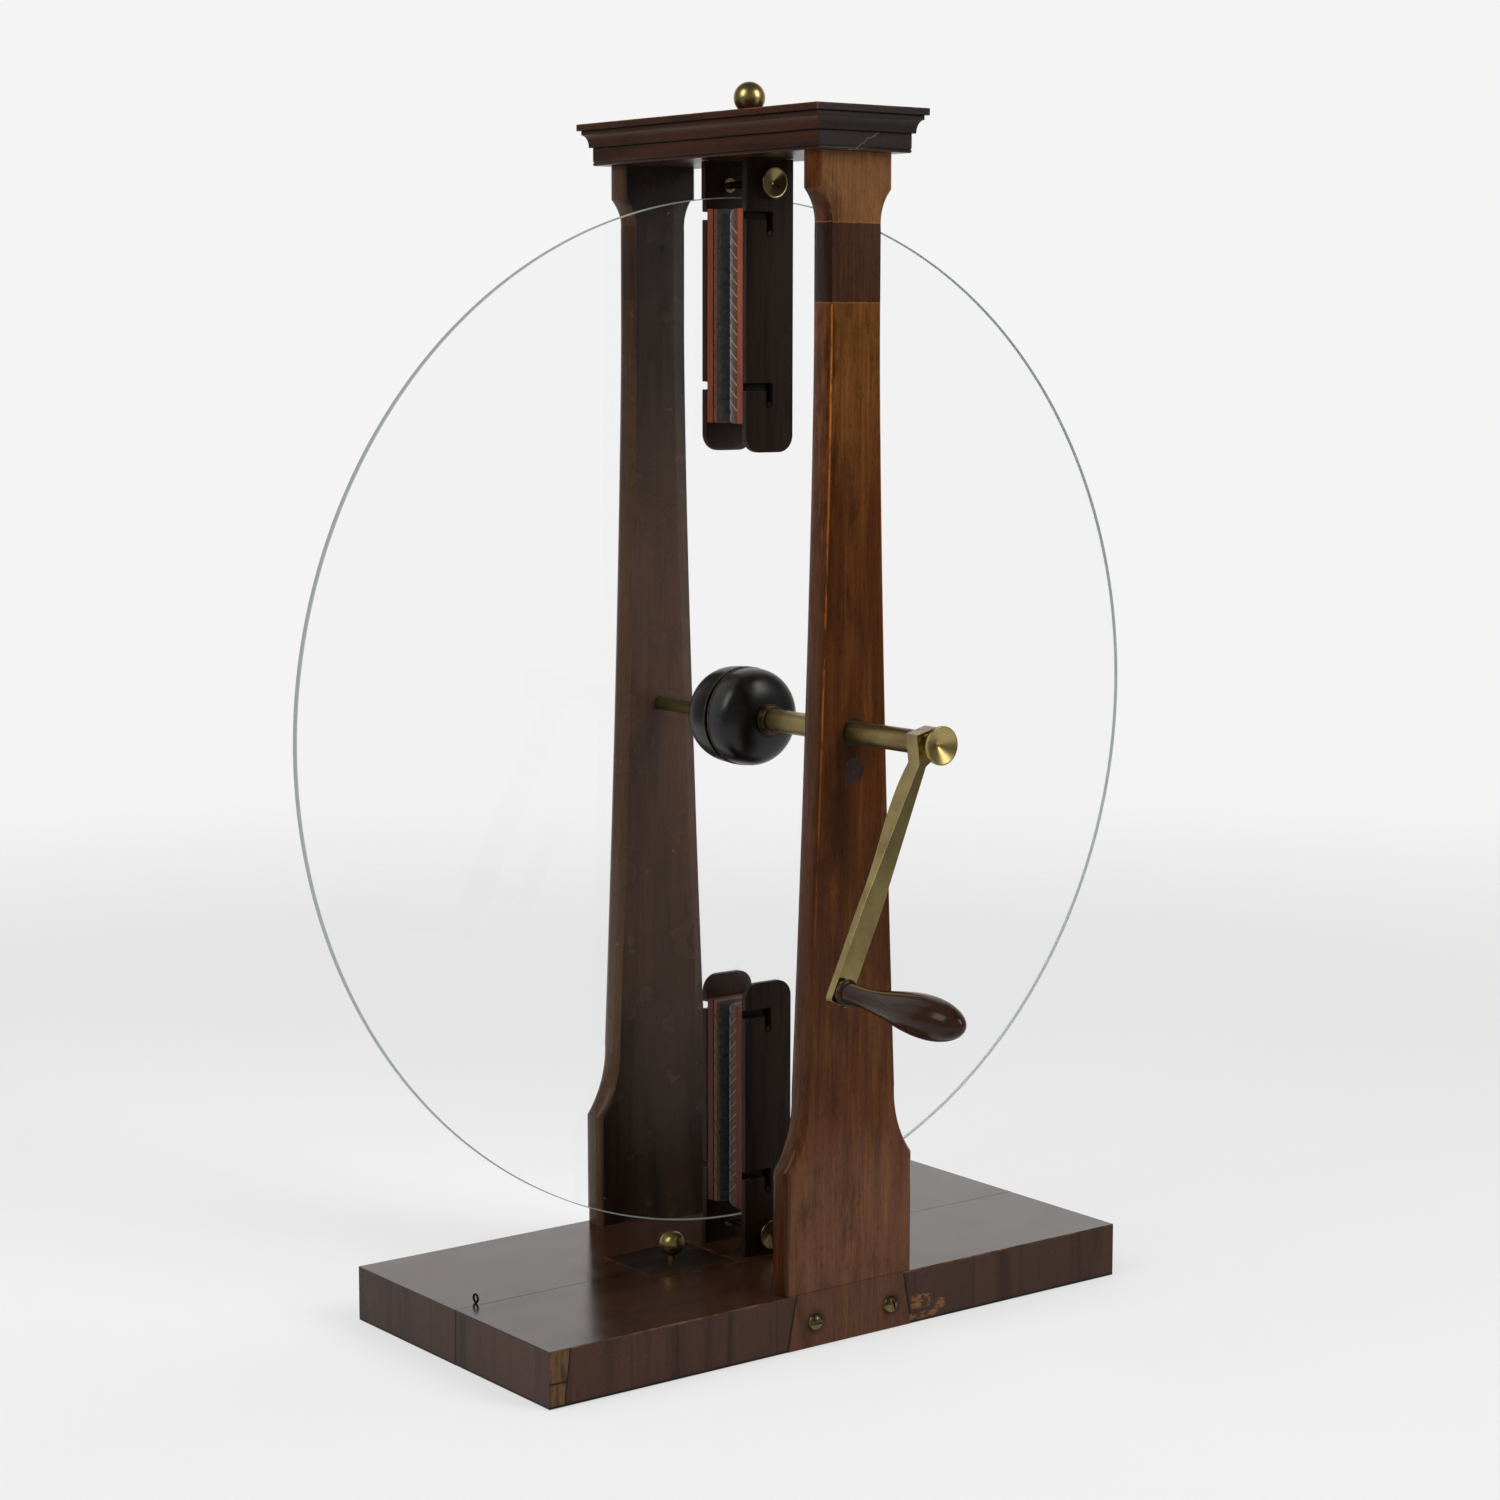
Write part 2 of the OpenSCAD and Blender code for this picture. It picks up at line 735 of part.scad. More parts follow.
module cap_frieze() {
    quirk_z = z_cap + bead_height;
    tenon_y = -y_out + (pillar_thickness - pillar_tenon_thickness) / 2 - joint_gap;
    tenon_size = [
        pillar_tenon_width + 2 * joint_gap,
        pillar_tenon_thickness + 2 * joint_gap,
        pillar_tenon_height + joint_gap + cut
    ];
    color(dark_mahogany)
        difference() {
            cap_layer([
                [-quirk_depth, z_cap], [0, z_cap + quirk_depth], [0, quirk_z - quirk_depth],
                [-quirk_depth, quirk_z], [0, quirk_z + quirk_depth], [0, z_moulding]
            ]);
            for (side = [0, 1])
                mirror([0, side, 0])
                    translate([-tenon_size[0] / 2, tenon_y, z_cap - cut])
                        cube(tenon_size);
            board_mortise(front_board_y, -1, z_cap - cut, z_cap + board_tenon_length + 2 * swing_gap);
            board_mortise(rear_board_y, 1, z_cap - cut, z_cap + board_tenon_length + 2 * swing_gap);
        }
}

module cap_moulding() {
    rise = moulding_height - fillet_height;
    run = moulding_fillet - moulding_foot;
    hollow = [for (i = [0 : arc_steps]) let (a = 90 * i / arc_steps)
        [moulding_foot + run * (1 - cos(a)), z_moulding + rise * sin(a)]];
    color(dark_mahogany)
        difference() {
            cap_layer(concat(hollow, [[moulding_fillet, z_corona]]));
            cap_ball_hole(z_corona + cut);
        }
}

module cap_corona() {
    color(dark_mahogany)
        difference() {
            cap_layer([[corona_overhang, z_corona], [corona_overhang, z_top]]);
            cap_ball_hole(z_top + cut);
        }
}

// The hole for the cap ball's stem, up to the given height
module cap_ball_hole(z1) {
    translate([cap_ball_x, 0, 0])
        rod_z(ball_stem_diameter + 2 * fit_gap, z_top - ball_stem_bite - joint_gap, z1);
}

module bush(outer_diameter, inner_diameter, y0, y1) {
    translate([0, 0, z_axle])
        difference() {
            rod_y(outer_diameter, y0, y1);
            rod_y(inner_diameter + 2 * fit_gap, y0 - cut, y1 + cut);
        }
}

module front_bush() {
    color(ebony)
        bush(front_bush_diameter, axle_front_diameter, -y_out, -y_in);
}

module rear_bush() {
    color(ebony)
        bush(rear_bush_diameter, axle_rear_diameter, y_in, y_in + rear_bush_depth);
}

module hub_pin_rod(room) {
    translate([0, front_nose + hub_pin_inset, 0])
        rotate([0, 90, 0])
            cylinder(d = hub_pin_diameter + 2 * room, h = hub_pin_length + 2 * room, center = true);
}

module axle() {
    color(brass)
        translate([0, 0, z_axle])
            difference() {
                turned_y([
                    [0, tang_end], [tang_diameter / 2, tang_end], [tang_diameter / 2, crank_back],
                    [axle_front_diameter / 2, crank_back], [axle_front_diameter / 2, front_nose],
                    [axle_hub_diameter / 2, front_nose], [axle_hub_diameter / 2, hub_axle_end],
                    [axle_rear_diameter / 2, hub_axle_end], [axle_rear_diameter / 2, axle_rear_end],
                    [0, axle_rear_end]
                ]);
                hub_pin_rod(fit_gap);
            }
}

module glass_plate() {
    radius = plate_diameter / 2;
    corner = radius - plate_edge_radius;
    edge = [for (i = [0 : arc_steps]) let (a = 90 * i / arc_steps)
        [corner + plate_edge_radius * sin(a), plate_edge_radius * (1 - cos(a))]];
    color(glass)
        translate([0, 0, z_axle])
            turned_y(concat(
                [[plate_hole / 2, plate_front]],
                [for (p = edge) [p[0], plate_front + p[1]]],
                [for (i = [arc_steps : -1 : 0]) [edge[i][0], plate_rear - edge[i][1]]],
                [[plate_hole / 2, plate_rear]]
            ));
}

// What is left of a whole along a full-shouldered curve, at a share of it
function shoulder_share(share) = pow(1 - pow(share, boss_fullness), 1 / boss_fullness);

// Outline of a boss from its flat face to its nose, a quarter of a squared ellipse
function boss_outline(length, nose) =
    let (reach = length / shoulder_share(nose / boss_radius))
    [for (i = [0 : curve_steps]) let (d = length * sin(90 * i / curve_steps))
        [boss_radius * shoulder_share(d / reach), d]];

module front_boss() {
    bore = axle_hub_diameter / 2 + fit_gap;
    spigot_end = boss_rear_face + spigot_bite;
    color(ebony)
        translate([0, 0, z_axle])
            difference() {
                turned_y(concat(
                    [[bore, front_nose], [bore, spigot_end], [spigot_diameter / 2, spigot_end],
                        [spigot_diameter / 2, boss_front_face]],
                    [for (p = boss_outline(front_boss_length, front_nose_radius))
                        [p[0], boss_front_face - p[1]]]
                ));
                hub_pin_rod(fit_gap);
            }
}

module rear_boss() {
    bore = axle_hub_diameter / 2 + fit_gap;
    neck_bore = axle_rear_diameter / 2 + fit_gap;
    pocket = plate_hole / 2;
    pocket_end = boss_rear_face + spigot_bite + joint_gap;
    color(ebony)
        translate([0, 0, z_axle])
            turned_y(concat(
                [for (p = boss_outline(rear_boss_length, rear_nose_radius)) [p[0], boss_rear_face + p[1]]],
                [[neck_bore, rear_nose], [neck_bore, hub_axle_end], [bore, hub_axle_end],
                    [bore, pocket_end], [pocket, pocket_end], [pocket, boss_rear_face]]
            ));
}

// A leather ring between the plate and a boss
module packing(y0) {
    translate([0, 0, z_axle])
        difference() {
            rod_y(2 * (boss_radius + packing_show), y0, y0 + packing_thickness);
            rod_y(plate_hole, y0 - cut, y0 + packing_thickness + cut);
        }
}

module front_packing() {
    color(leather)
        packing(boss_front_face);
}

module rear_packing() {
    color(leather)
        packing(plate_rear);
}

// A turned collar: a wide ring at the hub, a groove, a narrower ring and a step at its end
module hub_collar() {
    outer = collar_diameter / 2;
    inner = axle_front_diameter / 2 + fit_gap;
    groove = outer - collar_depth;
    bead = outer - collar_bead_depth;
    groove_end = collar_ring + collar_groove;
    bead_end = groove_end + collar_bead;
    end = bead_end + collar_step;
    color(dark_brass)
        translate([0, front_nose, z_axle])
            turned_y([
                [inner, 0], [inner, -end], [groove, -end], [groove, -bead_end], [bead, -bead_end],
                [bead, -groove_end], [groove, -groove_end], [groove, -collar_ring], [outer, -collar_ring],
                [outer, 0]
            ]);
}

module hub_pin() {
    color(steel)
        translate([0, 0, z_axle])
            hub_pin_rod(0);
}

// Thickness of the crank's arm at a distance below the axle
function crank_thickness(u) =
    u <= crank_neck_drop ? crank_boss_thickness
    : u <= crank_swell_drop
        ? crank_boss_thickness + (crank_swell - crank_boss_thickness)
            * sin(90 * (u - crank_neck_drop) / (crank_swell_drop - crank_neck_drop))
    : u <= crank_taper_drop
        ? crank_arm_thickness + (crank_swell - crank_arm_thickness)
            * (1 + cos(180 * (u - crank_swell_drop) / (crank_taper_drop - crank_swell_drop))) / 2
    : crank_arm_thickness;

// The crank hangs straight down here: a lozenge boss, a neck and a widening arm with a flat front
module straight_crank() {
    toe = crank_radius + crank_toe;
    taper_run = crank_taper_drop - crank_neck_drop;
    back_line = concat(
        [for (i = [0 : curve_steps]) let (u = crank_neck_drop + taper_run * i / curve_steps)
            [crank_front + crank_thickness(u), -u]],
        [[crank_front + crank_arm_thickness, -toe]]
    );
    intersection() {
        upright(crank_front, crank_swell)
            both_edges([
                [0, crank_peak], [crank_boss_width / 2, crank_corner_rise],
                [crank_neck_width / 2, -crank_neck_drop], [crank_arm_width / 2, -crank_taper_drop],
                [crank_arm_width / 2, crank_toe_chamfer - toe],
                [crank_arm_width / 2 - crank_toe_chamfer, -toe]
            ]);
        sideways(2 * crank_boss_width)
            polygon(concat(
                [[crank_front, -toe], [crank_front, crank_peak], [crank_back, crank_peak]],
                back_line
            ));
    }
}

module crank_arm() {
    color(brass)
        difference() {
            translate([0, 0, z_axle])
                rotate([0, crank_angle, 0])
                    difference() {
                        straight_crank();
                        rod_y(tang_diameter + 2 * fit_gap, crank_front - cut, crank_back + cut);
                    }
            on_spindle()
                rod_y(spindle_diameter + 2 * fit_gap, -cut, crank_arm_thickness + cut);
        }
}

// A dished head from its seat to its rim: a neck, a flare, a thin rim, a cone and a dimple
function dished_head(seat, rim_y, diameter, neck, neck_length, rim_height, dish) = [
    [0, seat], [neck / 2, seat], [neck / 2, seat - neck_length],
    [diameter / 2, rim_y + rim_height], [diameter / 2, rim_y], [diameter / 2 - dish_rim, rim_y],
    [dish_dimple / 2, rim_y + dish], [0, rim_y + dish + dish_dimple_depth]
];

module crank_nut() {
    color(brass)
        translate([0, 0, z_axle])
            difference() {
                turned_y(dished_head(
                    crank_front, nut_face, nut_diameter,
                    nut_neck_diameter, nut_neck_length, nut_rim_height, nut_dish_depth
                ));
                rod_y(tang_diameter + 2 * fit_gap, tang_end - joint_gap, crank_front + cut);
            }
}

// The drooping axis of the handle: y is 0 at the arm's front face
module on_spindle() {
    translate([handle_x, crank_front, handle_z])
        rotate([handle_droop, 0, 0])
            children();
}

// The handle's spindle, riveted behind the arm
module handle_spindle() {
    rivet_rise = crank_arm_thickness * tan(handle_droop);
    color(steel) {
        on_spindle()
            rod_y(spindle_diameter, -washer_thickness - spindle_bite, crank_arm_thickness + rivet_height / 2);
        translate([handle_x, crank_front + crank_arm_thickness, handle_z + rivet_rise])
            rod_y(rivet_diameter, 0, rivet_height);
    }
}

// The washer lies square on the arm, so its hole leaves room for the drooping spindle
module handle_washer() {
    room = fit_gap + washer_thickness * tan(handle_droop);
    color(brass)
        translate([handle_x, crank_front, handle_z])
            difference() {
                rod_y(washer_diameter, -washer_thickness, 0);
                rod_y(spindle_diameter + 2 * room, -washer_thickness - cut, cut);
            }
}

// Outline of the handle from its root to its end: a bead, a neck, a belly and a round end
function handle_outline() =
    let (
        bead = handle_bead_diameter / 2,
        neck = handle_neck_diameter / 2,
        belly = handle_diameter / 2,
        tail = handle_length - handle_belly
    )
    concat(
        [for (i = [0 : arc_steps]) let (a = 180 * i / arc_steps)
            [bead - handle_bead / 2 + handle_bead * sin(a) / 2, handle_bead * (1 - cos(a)) / 2]],
        [for (i = [1 : arc_steps]) let (a = 180 * i / arc_steps)
            [neck + (bead - handle_bead / 2 - neck) * (1 + cos(a)) / 2,
                handle_bead + (handle_neck - handle_bead) * i / arc_steps]],
        [for (i = [1 : curve_steps]) let (a = 180 * i / curve_steps)
            [neck + (belly - neck) * (1 - cos(a)) / 2,
                handle_neck + (handle_belly - handle_neck) * i / curve_steps]],
        [for (i = [1 : curve_steps]) let (a = 90 * i / curve_steps)
            [belly * cos(a), handle_belly + tail * sin(a)]]
    );

// The handle stands a little off the washer that it turns against
module crank_handle() {
    root = -washer_thickness - handle_gap;
    bore_end = -washer_thickness - spindle_bite - joint_gap;
    color(handle_colour)
        on_spindle()
            difference() {
                turned_y(concat([[0, root]], [for (p = handle_outline()) [p[0], root - p[1]]]));
                rod_y(spindle_diameter + 2 * fit_gap, bore_end, root + cut);
            }
}

// A bayonet slot: in from the board's -X edge, then down to the stud's seat
module bayonet_slot(stud_z) {
    half = slot_width / 2;
    translate([-board_width / 2 - cut, stud_z + rubber_lift - half])
        square([board_width / 2 + cut + half, slot_width]);
    translate([-half, stud_z])
        square([slot_width, rubber_lift]);
    translate([0, stud_z])
        circle(half);
}

// Outline of a clamp board that hangs from a seat at zero, with its tenon up and its free end down
module board_outline(length) {
    half = board_width / 2;
    translate([-half, board_corner - length])
        square([board_width, length - board_corner - swing_gap]);
    translate([-half + board_corner, -length])
        square([board_width - 2 * board_corner, 2 * board_corner]);
    for (side = [-1, 1])
        translate([side * (half - board_corner), board_corner - length])
            circle(board_corner);
    translate([-board_tenon_width / 2, -board_corner])
        square([board_tenon_width, board_tenon_length + board_corner]);
}

// A clamp board with its inner face at inner_y: side is -1 at the front and 1 at the rear
module clamp_board(is_upper, inner_y, side, hole_diameter) {
    rubber_z = is_upper ? upper_rubber_z : lower_rubber_z;
    clamp_z = is_upper ? upper_clamp_z : lower_clamp_z;
    y0 = side < 0 ? inner_y - board_thickness : inner_y;
    color(board_colour)
        difference() {
            upright(y0, board_thickness)
                difference() {
                    if (is_upper)
                        translate([0, z_cap])
                            board_outline(upper_board_length);
                    else
                        translate([0, z_base])
                            mirror([0, 1])
                                board_outline(lower_board_length);
                    for (i = [0, 1])
                        bayonet_slot(rubber_z + stud_inset + i * stud_spacing);
                }
            translate([0, 0, clamp_z])
                rod_y(hole_diameter, y0 - cut, y0 + board_thickness + cut);
        }
}

rod_hole = clamp_rod_diameter + 2 * fit_gap;
nut_hole = clamp_nut_body + 2 * fit_gap;

module upper_front_board() { clamp_board(true, front_board_y, -1, rod_hole); }
module upper_rear_board() { clamp_board(true, rear_board_y, 1, nut_hole); }
module lower_front_board() { clamp_board(false, front_board_y, -1, rod_hole); }
module lower_rear_board() { clamp_board(false, rear_board_y, 1, nut_hole); }

// A clamp screw: a dished head in front of the front board and a rod through both boards
module clamp_screw(z) {
    seat = front_board_y - board_thickness - joint_gap;
    rod_end = rear_board_y + board_thickness + clamp_rod_show;
    rim_y = seat - clamp_head_length;
    color(brass)
        translate([0, 0, z]) {
            turned_y(dished_head(
                seat, rim_y, clamp_head_diameter,
                clamp_neck_diameter, clamp_neck_length, clamp_rim_height, clamp_dish_depth
            ));
            rod_y(clamp_rod_diameter, seat - clamp_neck_length, rod_end);
        }
}

module upper_clamp_screw() { clamp_screw(upper_clamp_z); }
module lower_clamp_screw() { clamp_screw(lower_clamp_z); }

// A captive nut let into the rear board, with its flange on the inner face
module clamp_nut(z) {
    color(dark_brass)
        translate([0, rear_board_y, z])
            difference() {
                union() {
                    rod_y(clamp_nut_diameter, -clamp_nut_flange, 0);
                    rod_y(clamp_nut_body, -clamp_nut_flange / 2, board_thickness);
                }
                rod_y(thread_diameter, -clamp_nut_flange - cut, board_thickness + cut);
            }
}

module upper_clamp_nut() { clamp_nut(upper_clamp_z); }
module lower_clamp_nut() { clamp_nut(lower_clamp_z); }

// Puts a rubber's piece, made with +Y towards the plate, on a front or rear board
module on_front_board(z) {
    translate([0, front_board_y, z])
        children();
}

module on_rear_board(z) {
    translate([0, rear_board_y, z])
        at_rear()
            children();
}

module each_stud() {
    for (i = [0, 1])
        translate([0, 0, stud_inset + i * stud_spacing])
            children();
}

// The red wooden backing, with two blind holes for its studs
module backing() {
    color(red_wood)
        difference() {
            translate([-rubber_width / 2, slip_gap, 0])
                cube([rubber_width, backing_thickness, rubber_length]);
            each_stud()
                rod_y(stud_diameter + 2 * fit_gap, slip_gap - cut, slip_gap + stud_bite + joint_gap);
        }
}

module upper_front_backing() { on_front_board(upper_rubber_z) backing(); }
module upper_rear_backing() { on_rear_board(upper_rubber_z) backing(); }
module lower_front_backing() { on_front_board(lower_rubber_z) backing(); }
module lower_rear_backing() { on_rear_board(lower_rubber_z) backing(); }

// Two studs that stand in the backing and reach through the board's slots
module studs() {
    color(dark_brass)
        each_stud()
            rod_y(stud_diameter, -board_thickness, slip_gap + stud_bite);
}

module upper_front_studs() { on_front_board(upper_rubber_z) studs(); }
module upper_rear_studs() { on_rear_board(upper_rubber_z) studs(); }
module lower_front_studs() { on_front_board(lower_rubber_z) studs(); }
module lower_rear_studs() { on_rear_board(lower_rubber_z) studs(); }

module leather_layer() {
    color(leather)
        translate([-rubber_width / 2, backing_step, 0])
            cube([rubber_width, leather_thickness, rubber_length]);
}

module upper_front_leather() { on_front_board(upper_rubber_z) leather_layer(); }
module upper_rear_leather() { on_rear_board(upper_rubber_z) leather_layer(); }
module lower_front_leather() { on_front_board(lower_rubber_z) leather_layer(); }
module lower_rear_leather() { on_rear_board(lower_rubber_z) leather_layer(); }

// One ring of a cushion at height z: a flat back and a crowned face whose shoulders fall at each stitch
function cushion_ring(thickness, z) =
    let (
        end = min(z, rubber_length - z),
        in_round = max(cushion_round - end, 0),
        inset = cushion_round - sqrt(pow(cushion_round, 2) - pow(in_round, 2)),
        swell = abs(sin(180 * stitch_count * z / rubber_length)),
        half = rubber_width / 2 - inset - stitch_pull * (1 - swell),
        crown = thickness - inset,
        bend = 2 / (stitch_squareness + (swell_squareness - stitch_squareness) * swell)
    )
    [for (j = [0 : section_steps]) let (a = 180 * j / section_steps)
        [half * sign(cos(a)) * pow(abs(cos(a)), bend), crown * pow(abs(sin(a)), bend), z]];

// A stuffed cushion of the given thickness, sewn along both sides
module cushion(thickness) {
    rings = stitch_count * rings_per_stitch;
    count = section_steps + 1;
    points = [for (i = [0 : rings]) each cushion_ring(thickness, rubber_length * i / rings)];
    walls = [for (i = [0 : rings - 1], j = [0 : count - 1]) let (
        a = i * count + j,
        b = i * count + (j + 1) % count
    ) each [[a, b, b + count], [a, b + count, a + count]]];
    foot = [for (j = [1 : count - 2]) [0, j + 1, j]];
    head = [for (j = [1 : count - 2]) [rings * count, rings * count + j, rings * count + j + 1]];
    color(grey_felt)
        translate([0, cushion_step, 0])
            polyhedron(points, concat(walls, foot, head));
}

front_cushion = front_gap - cushion_step - cushion_gap;
rear_cushion = rear_gap - cushion_step - cushion_gap;

module upper_front_cushion() { on_front_board(upper_rubber_z) cushion(front_cushion); }
module upper_rear_cushion() { on_rear_board(upper_rubber_z) cushion(rear_cushion); }
module lower_front_cushion() { on_front_board(lower_rubber_z) cushion(front_cushion); }
module lower_rear_cushion() { on_rear_board(lower_rubber_z) cushion(rear_cushion); }

base_front_plank();
base_rear_plank();
base_inlay();
front_pillar();
rear_pillar();
front_plug();
rear_plug();
front_pillar_screws();
rear_pillar_screws();
cap_frieze();
cap_moulding();
cap_corona();
cap_ball();
base_ball();
earth_eye();
front_bush();
rear_bush();
axle();
glass_plate();
front_boss();
rear_boss();
front_packing();
rear_packing();
hub_collar();
hub_pin();
crank_arm();
crank_nut();
handle_spindle();
handle_washer();
crank_handle();
upper_front_board();
upper_rear_board();
lower_front_board();
lower_rear_board();
upper_clamp_screw();
lower_clamp_screw();
upper_clamp_nut();
lower_clamp_nut();
upper_front_backing();
upper_rear_backing();
lower_front_backing();
lower_rear_backing();
upper_front_leather();
upper_rear_leather();
lower_front_leather();
lower_rear_leather();
upper_front_cushion();
upper_rear_cushion();
lower_front_cushion();
lower_rear_cushion();
upper_front_studs();
upper_rear_studs();
lower_front_studs();
lower_rear_studs();
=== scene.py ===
"""Looks of a friction electrostatic machine: a glass plate that a crank turns between stitched rubbers.

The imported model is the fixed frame, and each operator dresses one group of its pieces.
"""
import json
import math

import bmesh
import bpy
import numpy as np
from bpy.props import FloatProperty, FloatVectorProperty, IntProperty, PointerProperty
from mathutils import Matrix, Vector


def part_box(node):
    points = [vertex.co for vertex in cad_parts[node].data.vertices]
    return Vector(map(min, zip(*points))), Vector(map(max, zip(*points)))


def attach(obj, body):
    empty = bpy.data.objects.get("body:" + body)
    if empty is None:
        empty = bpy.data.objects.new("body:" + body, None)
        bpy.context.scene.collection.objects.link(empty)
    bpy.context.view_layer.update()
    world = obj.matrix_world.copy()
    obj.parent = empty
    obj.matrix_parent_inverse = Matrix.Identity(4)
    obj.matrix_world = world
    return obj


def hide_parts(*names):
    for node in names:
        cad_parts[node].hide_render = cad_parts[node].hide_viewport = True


bl_info = {
    "name": "Friction electrostatic machine",
    "version": (1, 0, 0),
    "blender": (4, 5, 0),
    "location": "3D View > Sidebar > Machine",
    "description": "Dresses the packed model of a friction electrostatic machine",
    "category": "Object",
}

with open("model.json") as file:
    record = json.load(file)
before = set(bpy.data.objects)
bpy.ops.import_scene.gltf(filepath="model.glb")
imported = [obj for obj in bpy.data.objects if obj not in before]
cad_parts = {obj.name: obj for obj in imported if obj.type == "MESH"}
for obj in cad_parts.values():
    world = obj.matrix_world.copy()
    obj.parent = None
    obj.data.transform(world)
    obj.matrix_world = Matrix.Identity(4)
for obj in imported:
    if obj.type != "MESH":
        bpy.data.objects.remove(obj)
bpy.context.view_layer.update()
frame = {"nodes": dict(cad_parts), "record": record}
body_of = {
    node: body
    for body, nodes in frame["record"]["behaviour"]["bodies"].items()
    for node in nodes
}

MM = 0.001
LEVELS = ("upper", "lower")
SIDES = ("front", "rear")
# Colour that the pores of the wood are darkened by
PORE = "#897c76"

# Places and lengths in millimetres
AXLE = np.array([0.0, 0.0, 357.0])
SMALL_BALL = (-54, 1.5, 0)
BASE_HALF = (211.3, 101.9, 16.3)
BASE_TOP = 32.6
PLANK_JOINT = (-6.5, -5.5)
SCREWS_X = (-26.1, 30.5)
SCREWS_Z = 14.5
# The pillars: how far from the plate's middle, half a thickness, half widths and heights
PILLAR_MIDDLE = 93.9
PILLAR_HALF = 8.0
PLINTH_HALF, NECK_HALF, CAPITAL_HALF = 48.0, 19.1, 28.0
PLINTH_TOP, SHAFT_FOOT, SHAFT_TOP = 105.0, 146.97, 579.97
NECK_TOP, CAPITAL_FOOT, PILLAR_TOP = 641.47, 662.8, 683.5
STAIN = (600.5, 644.0)
# The rubbers: length, half widths, the leather's thickness, and the share of the cushion that is stitched
RUBBER_RUN = 124.0
LEATHER_HALF, CUSHION_HALF = 16.5, 16.2
LEATHER = 4.5
STITCHED = 0.65

# The camera's turn, tilt and roll in degrees, its place in metres, and its lens for a sensor in millimetres
CAMERA_TURN = (37.332, 7.26, 0.085)
CAMERA_PLACE = (-1.133557, -1.490386, 0.574985)
CAMERA_LENS, CAMERA_SENSOR = 75.84, 36
# The lamps' size, target and distance in metres, and their way to the camera's right, up and towards it
LAMP_SIZE = (0.9, 1.3)
LAMP_TARGET = (0.00311, 0, 0.33619)
LAMP_DISTANCE = 2.2
LAMP_WAYS = {"left": (-0.634, 0.546, 0.549), "right": (0.748, 0.493, 0.445)}


def linear(hex_colour):
    """Turns an sRGB hex colour into linear red, green and blue."""
    srgb = np.array([int(hex_colour[i:i + 2], 16) for i in (1, 3, 5)]) / 255
    return np.where(srgb <= 0.04045, srgb / 12.92, ((srgb + 0.055) / 1.055) ** 2.4).tolist()


def colour(description, hex_colour):
    """A colour that a user may change."""
    return FloatVectorProperty(
        description=description, default=linear(hex_colour), subtype="COLOR", size=3, min=0, max=1,
    )


def length(description, millimetres):
    """A length that a user may change."""
    return FloatProperty(description=description, default=millimetres * MM, unit="LENGTH", precision=5)


class StandSettings(bpy.types.PropertyGroup):
    """Sizes and colours of the base, the pillars and the cap."""

    arris: length("Width of the eased edges of the planks and the cap", 0.7)
    plinth_nose: length("How far the sides of plinth and capital round off", 3.4)
    shaft_nose: length("How far the sides of the shaft round off", 1.6)
    pillar_gold: colour("Golden mahogany of the capital", "#845c3a")
    pillar_worn: colour("Worn golden mahogany below the stain", "#744920")
    pillar_brown: colour("Mahogany of the shaft", "#512b12")
    pillar_deep: colour("Darkest mahogany of the shaft", "#43240d")
    pillar_foot: colour("Paler mahogany of the plinth", "#684532")
    pillar_stain: colour("Dark band below the capital", "#3d261c")
    # Partly bare wood, partly a painted highlight on the rounded arrises
    pillar_arris_wear_and_highlight: colour("Bare orange wood along the shaft's arrises", "#b4692c")
    side_orange: colour("Orange mahogany of the sides below the stain", "#713f1a")
    side_brown: colour("Brown mahogany of the sides", "#422617")
    rear_brown: colour("Darkened mahogany of the rear pillar", "#443024")
    # Its darkest tone is also the painted shade at the rear pillar's foot and head
    rear_deep_and_shade: colour("Darkest mahogany of the rear pillar", "#16100d")
    rear_side: colour("Greyed mahogany of the rear pillar's sides", "#594231")
    base_brown: colour("Polished mahogany of the base's top", "#382216")
    base_deep: colour("Darkest mahogany of the base's top", "#29180f")
    veneer_brown: colour("Mahogany veneer of the base's sides", "#412a20")
    veneer_deep: colour("Darkest veneer of the base's sides", "#301d15")
    base_worn: colour("Bare wood along the base's worn edges and in its chips", "#835632")
    base_chip: colour("Bare wood of the base's mended corner", "#62462b")
    cap_brown: colour("Mahogany of the cap", "#3f251a")
    cap_deep: colour("Darkest mahogany of the cap", "#301b12")
    cap_end: colour("Blackened front end of the cap", "#2b2320")
    inlay: colour("Dark panel round the small ball", "#1d1511")
    # Also the painted shade along the base's foot and on the backings' faces towards the boards
    joint: colour("Dirt in the joints and round the screws", "#120c09")
    dust: colour("Pale specks, bare arrises and the crack in the cap", "#b0a498")


class WheelSettings(bpy.types.PropertyGroup):
    """Colours of the plate, the hub and the crank."""

    segments: IntProperty(description="Steps round a turned piece", default=96, min=24)
    hub_black: colour("Ebonised wood of the hub", "#0b0a09")
    hub_worn: colour("Brown wood where the hub's black has worn", "#1e1914")
    packing: colour("Dusty leather between the hub and the plate", "#4b443a")
    handle_brown: colour("Polished wood of the handle", "#35231a")
    handle_deep: colour("Darkest wood of the handle", "#24140e")
    plug_brown: colour("Dark end grain of the plugs", "#2a1b14")
    glass: colour("Tint of the plate", "#fefefe")
    rim: colour("Milky ground rim of the plate", "#a5afaa")


